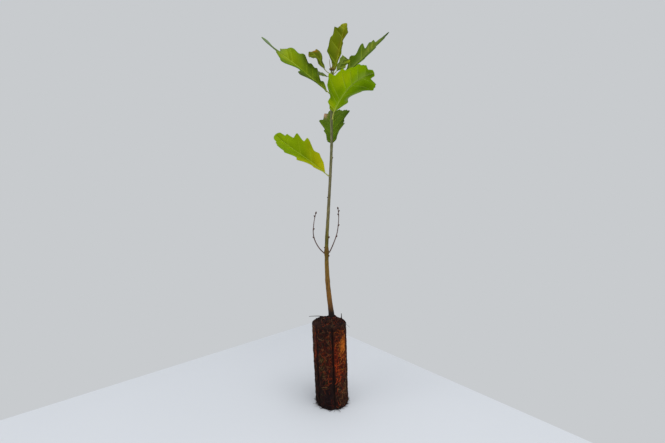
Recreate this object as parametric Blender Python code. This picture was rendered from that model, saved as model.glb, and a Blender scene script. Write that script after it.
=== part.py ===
"""Sessile oak sapling on its root ball, as closed solids in metres, standing on Z = 0 with +Z up.

+X is to the right and -Y towards the viewer. Angles are in degrees. A rise is measured up from level,
and a turn anticlockwise from +X as seen from above. Looking along a leaf from its stalk, its left half
is on the left, and a roll lifts its right half.
"""

import math
from dataclasses import dataclass

import bmesh
import bpy
from mathutils import Vector

MM = 0.001
GAP = 0.3 * MM  # left between two solids that touch

# Root ball: peat held together by roots, with the shape of a cell that has six upright ribs.
BALL_HEIGHT = 120 * MM
BALL_TOP_RADIUS = 24.2 * MM
BALL_FOOT_RADIUS = 23.2 * MM
BALL_LEAN = -4.7 * MM  # how far the top's centre stands to the right of the foot's
BALL_EDGE = 1.6 * MM
BALL_BANDS = 10
RIB_COUNT = 6
FIRST_RIB = -79  # turn of one groove
RIB_DEPTH = 1.5 * MM
RIB_WIDTH = 4.0  # half the angle that a groove takes up
RIB_STEPS = (0, 3.5, 8, 19, 30, 41, 52, 56.5)  # points from one groove to the next
MOUND_HEIGHT = 7.5 * MM
MOUND_FOOT = 11 * MM
MOUND_TOP = 5.4 * MM

# Stem: stations are evenly spaced from its foot to its tip.
STEM_FOOT = BALL_HEIGHT + MOUND_HEIGHT + GAP
STEM_TIP = 474 * MM
STEM_SIDE = (-0.8, -6.4, -8.0, -5.7, -2.9, -0.8, -1.2, -0.7)  # mm
STEM_DEPTH = (0, 1.0, 2.5, 3.0, 2.0, 0.5, 0, 0)  # mm
STEM_THICK = (7.8, 6.6, 5.5, 4.6, 4.0, 3.8, 3.5, 2.6)  # mm
STEM_RINGS = 50
FLARE = 1.2 * MM
FLARE_REACH = 8 * MM
KNOTS = ((180, 0.6, 4), (221, 1.7, 5), (243, 0.5, 3))  # height, swelling and reach, mm
LEAF_KNOT = (0.5, 3)  # swelling and reach where a leaf stands, mm

# Bare twigs: thin, ending in a bud, with side buds at (place along, turn about the twig).
BUD_SIZE = (1.1 * MM, 2.0 * MM)  # half the width and half the length
TWIG_BASE = 1.7 * MM
TWIG_TIP = 1.0 * MM
TWIGS = {
    "twig_left": {
        "height": 221,
        "length": 61,
        "rise": (40, 57, 72, 92, 98, 106),
        "turn": (194, 188),
        "buds": ((0.42, 180), (0.62, 0), (0.92, 180)),
    },
    "twig_right": {
        "height": 222,
        "length": 64,
        "rise": (60, 67, 70, 80, 85, 91, 100),
        "turn": (14, 6),
        "buds": ((0.36, 0), (0.62, 0), (0.86, 180), (0.94, 0)),
    },
}

# Shoot tip: the end bud, its neighbours, and one stipule.
# A bud is (turn, rise, distance from the axis, half width, half length), in mm.
TIP_BUDS = (
    (0, 90, 0, 1.5, 2.8),
    (-25, 50, 2.6, 1.3, 2.4),
    (205, 40, 2.2, 1.1, 2.1),
    (265, 45, 2.3, 1.2, 2.2),
)
STIPULE = {"length": 14, "rise": (78, 86), "turn": (165,), "thick": (1.2, 0.5)}
STIPULE_START = (-1.2 * MM, 0, 2.2 * MM)  # from the stem's tip


@dataclass
class Leaf:
    """One leaf. Heights, lengths and reaches are in mm. Angle stations are evenly spaced along the midrib."""

    height: float  # of its stalk on the stem
    stalk: float
    length: float
    rise: tuple
    turn: tuple
    roll: tuple
    fold: tuple  # how far each half stands up from flat
    left: tuple  # (place along the midrib, reach) of each lobe, and the reach in each bay between
    right: tuple
    fold_left: tuple = ()  # where the left half folds unlike the right
    stalk_rise: float = None
    stalk_turn: float = None
    sweep: float = 48  # angle between the midrib and its side veins
    wave: float = 0.6  # height of the margin's waves


LEAVES = {
    "leaf_lower": Leaf(
        height=331, stalk=5, length=88,
        rise=(39, 37, 34, 30), turn=(180,), roll=(52, 52, 60, 66), fold=(34, 34, 26, 16),
        left=(((0.05, 14), (0.18, 25), (0.46, 20), (0.68, 14), (0.87, 7)), (11, 18, 15.5, 9.5)),
        right=(((0.1, 16.5), (0.28, 25), (0.49, 21.2), (0.73, 13.5), (0.91, 8.5)), (15.5, 18, 13.8, 10)),
    ),
    "leaf_back": Leaf(
        height=373, stalk=3.5, length=63,
        rise=(62, 60, 58, 50), turn=(86, 80), roll=(0,), fold=(22,),
        left=(((0.04, 8), (0.13, 13), (0.25, 22), (0.58, 15), (0.88, 6)), (9, 12, 16, 8)),
        right=(((0.06, 12), (0.21, 20), (0.37, 27), (0.62, 18), (0.85, 10)), (12, 15, 19, 13)),
    ),
    "leaf_front": Leaf(
        height=409, stalk=9, length=80,
        rise=(44, 38, 32, 15, -1), turn=(-61, -52, -43, -38, -32), roll=(15, 15, 18, 28, 34),
        fold=(32, 30, 26, 15, 10), fold_left=(30, 24, 18, 8, 6), stalk_rise=84, stalk_turn=-60, sweep=62,
        left=(((0.1, 16.5), (0.34, 24), (0.55, 26.5), (0.77, 19), (0.94, 5)), (11, 26, 23, 7)),
        right=(
            ((0.03, 15), (0.16, 25), (0.24, 31), (0.44, 23), (0.57, 17.5), (0.7, 17), (0.88, 10)),
            (13, 27, 21, 16, 16, 13),
        ),
    ),
    "leaf_left": Leaf(
        height=444.5, stalk=4, length=116,
        rise=(39, 40, 39, 36, 37, 50), turn=(180,), roll=(42, 42, 48, 56, 18, 8),
        fold=(27, 27, 22, 18, 10, 5), fold_left=(27, 18, 14, 16, 10, 5),
        left=(((0.08, 4), (0.215, 18.5), (0.47, 16.8), (0.6, 13), (0.84, 4)), (4, 6, 14, 4)),
        right=(
            ((0.05, 8), (0.14, 17.5), (0.22, 18), (0.31, 21.5), (0.535, 20.5), (0.625, 22.5), (0.86, 8)),
            (6, 16, 16, 16.5, 18.5, 4),
        ),
    ),
    "leaf_right": Leaf(
        height=452, stalk=8, length=104,
        rise=(47, 45, 44, 45, 48), turn=(8,), roll=(-24, -26, -31, -24, -8), fold=(15, 17, 17, 13, 6),
        fold_left=(20, 22, 22, 18, 8),
        left=(((0.1, 10), (0.245, 20), (0.465, 25), (0.6, 19), (0.67, 18.5), (0.83, 6)), (8, 14, 12, 16, 6)),
        right=(((0.1, 10), (0.24, 20), (0.44, 20), (0.68, 16), (0.84, 5)), (8, 12, 9, 4)),
    ),
    "leaf_top": Leaf(
        height=472, stalk=3, length=75,
        rise=(68, 73, 76, 73), turn=(40,), roll=(-25, -28), fold=(25, 20, 15),
        left=(((0.05, 6.5), (0.175, 17.5), (0.43, 16.5), (0.71, 14), (0.89, 6)), (10, 16.5, 14, 8)),
        right=(((0.05, 3.5), (0.3, 5), (0.5, 4.5), (0.66, 9), (0.87, 5.2)), (3.5, 4, 3, 7)),
    ),
    "leaf_young_left": Leaf(
        height=471, stalk=8.5, length=34,
        rise=(52, 60, 64, 10, -8), turn=(180,), roll=(60,), fold=(12,), stalk_rise=20,
        left=(((0.2, 4.8), (0.5, 8), (0.75, 6.5)), (4.8, 7)),
        right=(((0.15, 3), (0.43, 10), (0.72, 6)), (3.8, 7)),
    ),
    "leaf_young_right": Leaf(
        height=470, stalk=6, length=22,
        rise=(52, 58), turn=(-12, -8), roll=(55,), fold=(10,), stalk_rise=25,
        left=(((0.2, 8), (0.5, 9.5), (0.8, 7)), (7, 8.5)),
        right=(((0.2, 4.5), (0.5, 5.5), (0.8, 5)), (4, 5)),
    ),
    "leaf_bud": Leaf(
        height=467, stalk=4, length=14,
        rise=(0, 10, 12), turn=(192,), roll=(50,), fold=(20,), wave=0.2,
        left=(((0.3, 4), (0.6, 4)), (3,)),
        right=(((0.25, 5), (0.6, 5)), (4,)),
    ),
}
BLADE_PER_LENGTH = 0.0105  # the blade's thickness as a share of its length
BLADE_LEAST = 0.5 * MM
BLADE_END = 0.35 * MM  # half the width left at both ends of a blade, which the stalk's end holds inside it
STALK_THICK = 1.8 * MM
YOUNG_STALK_THICK = 1.1 * MM
STALK_ROOT = 0.14  # part of the midrib that the stalk runs on under
STALK_END = 0.35  # radius of its hidden end, as a share of the blade's thickness
YOUNG = 50  # a leaf shorter than this has a thin stalk and fewer faces
OLD_HEIGHT = 460  # a leaf that stands higher than this is one of the new ones, with their paler skin
MIDRIB_STEPS = 200

COLOURS = {
    "peat": ((0.045, 0.028, 0.018), 0.95),
    "bark": ((0.110, 0.085, 0.045), 0.75),
    "twig": ((0.090, 0.060, 0.050), 0.75),
    "leaf": ((0.150, 0.260, 0.020), 0.55),
    "young leaf": ((0.200, 0.200, 0.030), 0.55),
}


def at(stations, t):
    """The value at t, from 0 to 1, on a smooth curve through evenly spaced stations."""
    last = len(stations) - 1
    if last == 0:
        return stations[0]
    place = min(max(t, 0), 1) * last
    i = min(int(place), last - 1)
    f = place - i
    a, b = stations[i], stations[i + 1]
    before = stations[i - 1] if i else 2 * a - b
    after = stations[i + 2] if i + 2 <= last else 2 * b - a
    rise, bend, swing = (b - before) / 2, (after - a) / 2, 2 * (a - b)
    return a + f * (rise + f * (-swing * 1.5 - 2 * rise - bend + f * (swing + rise + bend)))


def heading(rise, turn):
    rise, turn = math.radians(rise), math.radians(turn)
    return Vector((math.cos(rise) * math.cos(turn), math.cos(rise) * math.sin(turn), math.sin(rise)))


def route(start, length, rise, turn, steps):
    """Points of a line that leaves start and turns as its stations of rise and turn say."""
    points = [Vector(start)]
    for i in range(steps):
        t = (i + 0.5) / steps
        points.append(points[-1] + heading(at(rise, t), at(turn, t)) * length / steps)
    return points


def material(name):
    colour, roughness = COLOURS[name]
    made = bpy.data.materials.new(name)
    made.use_nodes = True
    shader = made.node_tree.nodes["Principled BSDF"]
    shader.inputs["Base Color"].default_value = (*colour, 1)
    shader.inputs["Roughness"].default_value = roughness
    shader.inputs["Metallic"].default_value = 0
    return made


def add_object(name, mesh, skin):
    mesh.materials.clear()
    mesh.materials.append(skin)
    mesh.shade_smooth()
    mesh.set_sharp_from_angle(angle=math.radians(50))
    made = bpy.data.objects.new(name, mesh)
    bpy.context.scene.collection.objects.link(made)
    return made


def limb(name, path, radii, resolution=2):
    """A closed round limb along path, as a mesh."""
    curve = bpy.data.curves.new(name, "CURVE")
    curve.dimensions = "3D"
    curve.bevel_depth = 1
    curve.bevel_resolution = resolution
    curve.use_fill_caps = True
    spline = curve.splines.new("POLY")
    spline.points.add(len(path) - 1)
    for point, place, radius in zip(spline.points, path, radii):
        point.co = (*place, 1)
        point.radius = radius
    guide = bpy.data.objects.new(name, curve)
    mesh = bpy.data.meshes.new_from_object(guide)
    bpy.data.objects.remove(guide)
    closed = bmesh.new()
    closed.from_mesh(mesh)
    bmesh.ops.remove_doubles(closed, verts=closed.verts, dist=1e-7)
    bmesh.ops.recalc_face_normals(closed, faces=closed.faces)
    closed.to_mesh(mesh)
    closed.free()
    return mesh


def egg(name, centre, direction, half_width, half_length):
    """A bud: an egg with its point along direction."""
    made = bmesh.new()
    bmesh.ops.create_uvsphere(made, u_segments=7, v_segments=5, radius=1)
    for vertex in made.verts:
        up = vertex.co.z
        narrow = half_width * (1 - 0.35 * max(up, 0))
        vertex.co = Vector((vertex.co.x * narrow, vertex.co.y * narrow, up * half_length))
    turned = direction.to_track_quat("Z", "Y").to_matrix().to_4x4()
    turned.translation = centre
    bmesh.ops.transform(made, matrix=turned, verts=made.verts)
    mesh = bpy.data.meshes.new(name)
    made.to_mesh(mesh)
    made.free()
    return mesh


def fuse(name, meshes, skin):
    """One object from meshes that overlap, by a Boolean union."""
    body, *others = (add_object(f"{name}_{i}", mesh, skin) for i, mesh in enumerate(meshes))
    group = bpy.data.collections.new(name)
    for other in others:
        group.objects.link(other)
    union = body.modifiers.new("union", "BOOLEAN")
    union.operation = "UNION"
    union.solver = "MANIFOLD"  # EXACT drops the large blades
    union.operand_type = "COLLECTION"
    union.collection = group
    graph = bpy.context.evaluated_depsgraph_get()
    joined = bpy.data.meshes.new_from_object(body.evaluated_get(graph))
    for helper in (body, *others):
        bpy.data.objects.remove(helper)
    bpy.data.collections.remove(group)
    joined.name = name
    return add_object(name, joined, skin)


def stem_centre(height):
    """The stem's axis at a height in metres."""
    t = (height - STEM_FOOT) / (STEM_TIP - STEM_FOOT)
    return Vector((at(STEM_SIDE, t) * MM, at(STEM_DEPTH, t) * MM, height))


def stem_radius(height):
    t = (height - STEM_FOOT) / (STEM_TIP - STEM_FOOT)
    thick = at(STEM_THICK, t) * MM + FLARE * math.exp(-((height - STEM_FOOT) / FLARE_REACH) ** 2)
    knots = [*KNOTS, *((leaf.height - 1, *LEAF_KNOT) for leaf in LEAVES.values())]
    swelling = max(extra * math.exp(-((height / MM - place) / reach) ** 2) for place, extra, reach in knots)
    return (thick + swelling * MM) / 2


def off_stem(height, rise, turn, radius):
    """Where a round stalk or twig of this radius starts, GAP clear of the stem's side."""
    out = stem_radius(height) + GAP + radius * abs(math.sin(math.radians(rise)))
    return stem_centre(height) + heading(0, turn) * out


def build_ball(skin):
    """The root ball: grooved rings joined from the foot up, then the mound that the stem stands on."""

    def groove(angle):
        from_groove = (angle - FIRST_RIB) % (360 / RIB_COUNT)
        from_groove = min(from_groove, 360 / RIB_COUNT - from_groove)
        return RIB_DEPTH * math.exp(-((from_groove / RIB_WIDTH) ** 2))

    def ring(radius, height, depth):
        lean = BALL_LEAN * height / BALL_HEIGHT
        points = []
        for angle in angles:
            reach = radius - groove(angle) * depth
            points.append(Vector((lean, 0, height)) + heading(0, angle) * reach)
        return points

    angles = [FIRST_RIB + 360 / RIB_COUNT * rib + step for rib in range(RIB_COUNT) for step in RIB_STEPS]
    rings = [ring(BALL_FOOT_RADIUS - BALL_EDGE, 0, 1)]
    for band in range(BALL_BANDS + 1):
        share = band / BALL_BANDS
        radius = BALL_FOOT_RADIUS + (BALL_TOP_RADIUS - BALL_FOOT_RADIUS) * share
        rings.append(ring(radius, BALL_EDGE + (BALL_HEIGHT - 2 * BALL_EDGE) * share, 1))
    rings.append(ring(BALL_TOP_RADIUS - BALL_EDGE, BALL_HEIGHT, 0.6))
    foot_of_stem = stem_centre(STEM_FOOT)
    shoulder = (1.35 * MOUND_TOP, MOUND_HEIGHT - BALL_EDGE)
    for radius, height in ((MOUND_FOOT, 0), shoulder, (MOUND_TOP, MOUND_HEIGHT)):
        middle = Vector((foot_of_stem.x, foot_of_stem.y, BALL_HEIGHT + height))
        rings.append([middle + heading(0, angle) * radius for angle in angles])

    made = bmesh.new()
    first = bmesh.ops.create_circle(made, cap_ends=False, segments=len(angles), radius=1)["verts"]
    for vertex, place in zip(first, rings[0]):
        vertex.co = place
    edges = made.edges[:]
    for places in rings[1:]:
        grown = bmesh.ops.extrude_edge_only(made, edges=edges)["geom"]
        edges = [part for part in grown if isinstance(part, bmesh.types.BMEdge)]
        vertices = [part for part in grown if isinstance(part, bmesh.types.BMVert)]
        for vertex, place in zip(vertices, places):
            vertex.co = place
    bmesh.ops.holes_fill(made, edges=made.edges, sides=0)
    bmesh.ops.recalc_face_normals(made, faces=made.faces)
    mesh = bpy.data.meshes.new("root_ball")
    made.to_mesh(mesh)
    made.free()
    return add_object("root_ball", mesh, skin)


def build_stem(skin):
    heights = [STEM_FOOT + (STEM_TIP - STEM_FOOT) * i / STEM_RINGS for i in range(STEM_RINGS + 1)]
    path = [stem_centre(height) for height in heights]
    path[0].xy = path[1].xy  # the foot is cut level
    return add_object("stem", limb("stem", path, [stem_radius(height) for height in heights], 4), skin)


def build_twig(name, twig, skin):
    """A bare twig with its buds fused on."""
    steps = 22
    start = off_stem(twig["height"] * MM, twig["rise"][0], twig["turn"][0], TWIG_BASE / 2)
    path = route(start, twig["length"] * MM, twig["rise"], twig["turn"], steps)
    radii = [(TWIG_BASE + (TWIG_TIP - TWIG_BASE) * i / steps) / 2 for i in range(steps + 1)]
    meshes = [limb(name, path, radii)]
    width, length = BUD_SIZE
    end = (path[-1] - path[-2]).normalized()
    meshes.append(egg(name, path[-1] + end * length * 0.6, end, width, length))
    for place, side in twig["buds"]:
        i = round(place * steps)
        along = (path[i] - path[i - 1]).normalized()
        out = (heading(0, side) + along).normalized()
        meshes.append(egg(name, path[i] + out * length * 0.6, out, width * 0.8, length * 0.8))
    return fuse(name, meshes, skin)


def build_tip(skin):
    """The shoot's end: a cluster of buds with a stipule beside it, on the stem's tip."""
    top = stem_centre(STEM_TIP) + Vector((0, 0, GAP))
    meshes = []
    for turn, rise, out, half_width, half_length in TIP_BUDS:
        direction = heading(rise, turn)
        lift = half_length if rise == 90 else half_length * 0.9
        centre = top + heading(0, turn) * out * MM + Vector((0, 0, lift * MM))
        meshes.append(egg("tip_buds", centre, direction, half_width * MM, half_length * MM))
    steps = 8
    path = route(top + Vector(STIPULE_START), STIPULE["length"] * MM, STIPULE["rise"], STIPULE["turn"], steps)
    base, end = STIPULE["thick"]
    radii = [(base + (end - base) * i / steps) * MM / 2 for i in range(steps + 1)]
    meshes.append(limb("tip_buds", path, radii, 1))
    return fuse("tip_buds", meshes, skin)


def reach_of(half, t):
    """How far a leaf's half reaches out at t, in metres: a wedge at its foot, lobes and bays, a round end."""
    lobes, bays = half
    first, last = lobes[0], lobes[-1]
    if t <= first[0]:
        return first[1] * MM * math.sin(math.pi / 2 * t / first[0]) ** 1.3
    if t >= last[0]:
        return last[1] * MM * math.sqrt(max(1 - ((t - last[0]) / (1 - last[0])) ** 2, 0))
    for (place, reach), (next_place, next_reach), bay in zip(lobes, lobes[1:], bays):
        if t > next_place:
            continue
        middle = (place + next_place) / 2
        lobe = (place, reach) if t < middle else (next_place, next_reach)
        share = 0.5 - 0.5 * math.cos(math.pi * (t - middle) / (lobe[0] - middle))
        return (bay + (lobe[1] - bay) * share) * MM


def leaf_frame(leaf, t):
    """The midrib's direction, and those of the blade's right side and upper face, at t."""
    along = heading(at(leaf.rise, t), at(leaf.turn, t))
    level = heading(0, at(leaf.turn, t) - 90)
    over = level.cross(along)
    roll = math.radians(at(leaf.roll, t))
    side = level * math.cos(roll) + over * math.sin(roll)
    return along, side, over * math.cos(roll) - level * math.sin(roll)


def stalk_radius(leaf):
    return (YOUNG_STALK_THICK if leaf.length < YOUNG else STALK_THICK) / 2


def leaf_lines(leaf):
    """The stalk's points, and the midrib's as a function of t."""
    rise = leaf.rise[0] if leaf.stalk_rise is None else leaf.stalk_rise
    turn = leaf.turn[0] if leaf.stalk_turn is None else leaf.stalk_turn
    start = off_stem(leaf.height * MM, rise, turn, stalk_radius(leaf))
    stalk = route(start, leaf.stalk * MM, (rise, leaf.rise[0]), (turn, leaf.turn[0]), 8)
    points = route(stalk[-1], leaf.length * MM, leaf.rise, leaf.turn, MIDRIB_STEPS)

    def midrib(t):
        i = min(int(t * MIDRIB_STEPS), MIDRIB_STEPS - 1)
        return points[i].lerp(points[i + 1], t * MIDRIB_STEPS - i)

    return stalk, midrib


def blade_point(leaf, midrib, t, across):
    """A point of the blade's middle surface: t along the midrib, across from -1 (left edge) to 1 (right)."""
    half = leaf.left if across < 0 else leaf.right
    out = abs(across) * max(reach_of(half, t), BLADE_END)
    sweep = math.radians(leaf.sweep * (1 - 0.4 * t**2))
    length = leaf.length * MM
    place = t * length + out / math.tan(sweep) * (1 - t**4)
    s = min(place / length, 1)
    past = max(place - length, 0)
    along, side, face = leaf_frame(leaf, s)
    fold = math.radians(at(leaf.fold_left if across < 0 and leaf.fold_left else leaf.fold, s))
    wave = leaf.wave * MM * across**2 * math.sin(2 * math.pi * (2.5 * t + (0.3 if across < 0 else 0)))
    sideways = side * math.copysign(out * math.cos(fold), across)
    return midrib(s) + along * past + sideways + face * (out * math.sin(fold) + wave)


def build_leaf(name, leaf, skin):
    """A lobed blade of even thickness, fused with its stalk."""
    rows, columns = (14, 4) if leaf.length < YOUNG else (30, 6)
    stalk, midrib = leaf_lines(leaf)
    made = bmesh.new()
    bmesh.ops.create_grid(made, x_segments=rows, y_segments=columns, size=1)
    for vertex in made.verts:
        vertex.co = blade_point(leaf, midrib, (vertex.co.x + 1) / 2, vertex.co.y)
    thickness = max(leaf.length * BLADE_PER_LENGTH * MM, BLADE_LEAST)
    bmesh.ops.recalc_face_normals(made, faces=made.faces)
    bmesh.ops.solidify(made, geom=made.faces[:], thickness=thickness)
    bmesh.ops.recalc_face_normals(made, faces=made.faces)
    blade = bpy.data.meshes.new(name)
    made.to_mesh(blade)
    made.free()
    steps = 6
    path = stalk[:-1] + [midrib(STALK_ROOT * i / steps) for i in range(steps + 1)]
    full, end = stalk_radius(leaf), STALK_END * thickness
    radii = [full] * (len(stalk) - 1) + [full + (end - full) * i / steps for i in range(steps + 1)]
    return fuse(name, [blade, limb(name, path, radii, 1)], skin)


def main():
    for old in list(bpy.data.objects):
        bpy.data.objects.remove(old)
    skins = {name: material(name) for name in COLOURS}
    build_ball(skins["peat"])
    build_stem(skins["bark"])
    for name, twig in TWIGS.items():
        build_twig(name, twig, skins["twig"])
    build_tip(skins["twig"])
    for name, leaf in LEAVES.items():
        build_leaf(name, leaf, skins["young leaf" if leaf.height > OLD_HEIGHT else "leaf"])


main()
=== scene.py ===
"""The looks of a sessile oak sapling on its root ball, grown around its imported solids.

The solids' own rule is written again here and carried to finer leaves, ribs, buds, bark and roots.
+X is to the right and -Y towards the viewer. Angles are in degrees: a rise is measured up from level, and
a turn anticlockwise from +X as seen from above. A leaf's left half is on the left as seen from its stalk.
"""

import math
import random
from collections import namedtuple
from dataclasses import dataclass

import bmesh
import bpy
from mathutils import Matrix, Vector, noise


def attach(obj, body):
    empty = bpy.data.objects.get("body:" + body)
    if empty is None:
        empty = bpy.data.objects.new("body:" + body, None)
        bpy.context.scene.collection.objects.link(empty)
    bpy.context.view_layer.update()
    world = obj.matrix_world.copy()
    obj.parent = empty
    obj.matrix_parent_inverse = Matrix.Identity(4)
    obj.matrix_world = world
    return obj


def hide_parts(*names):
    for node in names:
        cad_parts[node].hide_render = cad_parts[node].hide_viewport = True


bl_info = {
    "name": "Oak sapling looks",
    "version": (1, 0, 0),
    "blender": (4, 5, 0),
    "location": "3D View > Sidebar > Oak sapling",
    "description": "Leaves, bark, buds and root ball of a young sessile oak, grown around its solids",
    "category": "Add Mesh",
}

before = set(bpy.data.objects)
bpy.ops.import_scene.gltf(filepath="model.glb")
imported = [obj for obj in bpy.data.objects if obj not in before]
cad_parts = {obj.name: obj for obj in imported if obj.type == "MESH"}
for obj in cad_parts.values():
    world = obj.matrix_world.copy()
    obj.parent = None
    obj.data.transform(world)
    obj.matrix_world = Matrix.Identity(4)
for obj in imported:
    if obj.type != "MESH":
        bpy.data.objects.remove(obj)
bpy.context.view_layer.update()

MM = 0.001
SEAT_GAP = 0.3 * MM  # between a solid and what carries it
BARK_IOR = 1.45  # also of soil, roots and paint
LEAF_IOR = 1.42

# Root ball: peat held together by roots, with the shape of a cell that has six upright ribs.
BALL_HEIGHT = 120 * MM
BALL_TOP_RADIUS = 24.2 * MM
BALL_FOOT_RADIUS = 23.2 * MM
BALL_LEAN = -4.7 * MM  # how far the top's centre stands to the right of the foot's
BALL_EDGE = 1.6 * MM
RIB_COUNT = 6
FIRST_RIB = -79  # turn of one groove
RIB_DEPTH = 1.5 * MM
RIB_WIDTH = 4.0  # half the angle that a groove takes up
BALL_SPREAD = 0.3 * MM  # how far roots and fibres swell the ball past its core
FOOT_EDGE = 0.5 * MM
TOP_ROUGH = 0.9 * MM
ROOTS_STOP = 0.62  # share of a groove's depth at which the fine roots stop
MOUND_HEIGHT = 7.5 * MM
MOUND_FOOT = 11 * MM
MOUND_TOP = 5.4 * MM

# Stem: stations are evenly spaced from its foot to its tip.
STEM_FOOT = BALL_HEIGHT + MOUND_HEIGHT + SEAT_GAP
STEM_TIP = 474 * MM
STEM_SIDE = (-0.8, -6.4, -8.0, -5.7, -2.9, -0.8, -1.2, -0.7)  # mm
STEM_DEPTH = (0, 1.0, 2.5, 3.0, 2.0, 0.5, 0, 0)  # mm
STEM_THICK = (7.8, 6.6, 5.5, 4.6, 4.0, 3.8, 3.5, 2.6)  # mm
FLARE = 1.2 * MM
FLARE_REACH = 8 * MM
KNOTS = ((180, 0.6, 4), (221, 1.7, 5), (243, 0.5, 3))  # height, swelling and reach, mm
LEAF_KNOT = (0.5, 3)  # swelling and reach where a leaf stands, mm
STEM_RINGS = 420
STEM_SIDES = 20
STEM_SUNK = 1.5 * MM  # how far the bark reaches down into the mound
GRAIN_SQUASH = 0.12  # width of a streak in the bark as a share of its height
WRINKLE = 1.1 * MM  # spacing of the bark's wrinkles
LUMP = 7 * MM  # spacing of its lumps
PORE_SEED = 3
PORE_SUNK = 0.02 * MM  # how far a pore's middle lies under the bark
PORE_LIFT = 0.1 * MM  # half its thickness
PORE_TALL = (0.25, 0.5)  # half the height, mm
PORE_WIDE = (0.12, 0.2)  # half the width, mm

# Bare twigs: thin, ending in a bud, with side buds at (place along, turn about the twig).
BUD_SIZE = (1.1 * MM, 2.0 * MM)  # half the width and half the length
TWIG_BASE = 1.7 * MM
TWIG_TIP = 1.0 * MM
TWIG_FOOT = 0.62  # radius where it meets the stem, as a share of its thickness there
TWIG_SUNK = 1.6 * MM  # how far it reaches into the stem
TWIG_KNOT = 0.3  # swelling under a bud, as a share of the twig's radius
TWIG_STEPS = 66
TWIG_SIDES = 12
TWIG_WRINKLE = 1.5 * MM
TWIG_SEED = 5  # of its wrinkles, which would otherwise change at each run
TWIG_TONES = ((0.0, "54403a"), (1.0, "5a4640"))
BUD_GRID = (20, 22)  # faces round a bud and along it
SCALE_ROWS = 5
SCALES_ROUND = 5
SCALE_POINT = 0.35  # how far a scale's edge rises to its point, as a share of a row
BUD_NARROWING = 0.6  # share of its width that a bud loses at its tip
BUD_OUT = 0.6  # how far a bud's middle stands off its twig, as a share of its half length
SIDE_BUD = 0.8  # size of a twig's side buds beside its end bud
TWIGS = {
    "twig_left": {
        "height": 221,
        "length": 61,
        "rise": (40, 57, 72, 92, 98, 106),
        "turn": (194, 188),
        "buds": ((0.42, 180), (0.62, 0), (0.92, 180)),
    },
    "twig_right": {
        "height": 222,
        "length": 64,
        "rise": (60, 67, 70, 80, 85, 91, 100),
        "turn": (14, 6),
        "buds": ((0.36, 0), (0.62, 0), (0.86, 180), (0.94, 0)),
    },
}

# Shoot tip: a bud is (turn, rise, distance from the axis, half width, half length), in mm.
TIP_BUDS = (
    (0, 90, 0, 1.5, 2.8),
    (-25, 50, 2.6, 1.3, 2.4),
    (205, 40, 2.2, 1.1, 2.1),
    (265, 45, 2.3, 1.2, 2.2),
)
DRY_BUD = ("241510", "4c2f22", "7c5643")  # dark to light
GREEN_BUD = ("4a3c12", "6c5c1a", "8c7440")
STIPULE = {"length": 14, "rise": (78, 86), "turn": (165,), "thick": (1.2, 0.5), "steps": 16, "sides": 8}
STIPULE_START = (-1.2 * MM, 0, 2.2 * MM)  # from the stem's tip


@dataclass
class Leaf:
    """One leaf. Heights, lengths and reaches are in mm. Angle stations are evenly spaced along the midrib."""

    height: float  # of its stalk on the stem
    stalk: float
    length: float
    rise: tuple
    turn: tuple
    roll: tuple
    fold: tuple  # how far each half stands up from flat
    left: tuple  # (place along the midrib, reach) of each lobe, and the reach in each bay between
    right: tuple
    upper: str  # the upper skin's colour
    under: str
    fold_left: tuple = ()  # where the left half folds unlike the right
    stalk_rise: float = None
    stalk_turn: float = None
    sweep: float = 48  # angle between the midrib and its side veins
    wave: float = 0.6  # height of the margin's waves
    # On some leaves the tints are painted shade and painted sheen as well as the skin's own colour.
    tints: tuple = ()  # (place, across, how long, how wide, colour, strength)
    ear: tuple = ()  # angle at which the margin leaves the foot, and the share of the length that it keeps to
    holes: tuple = ()  # (place, across, radius in mm)
    pale: float = 0.35  # how strongly the midrib's paler colour shows


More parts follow.
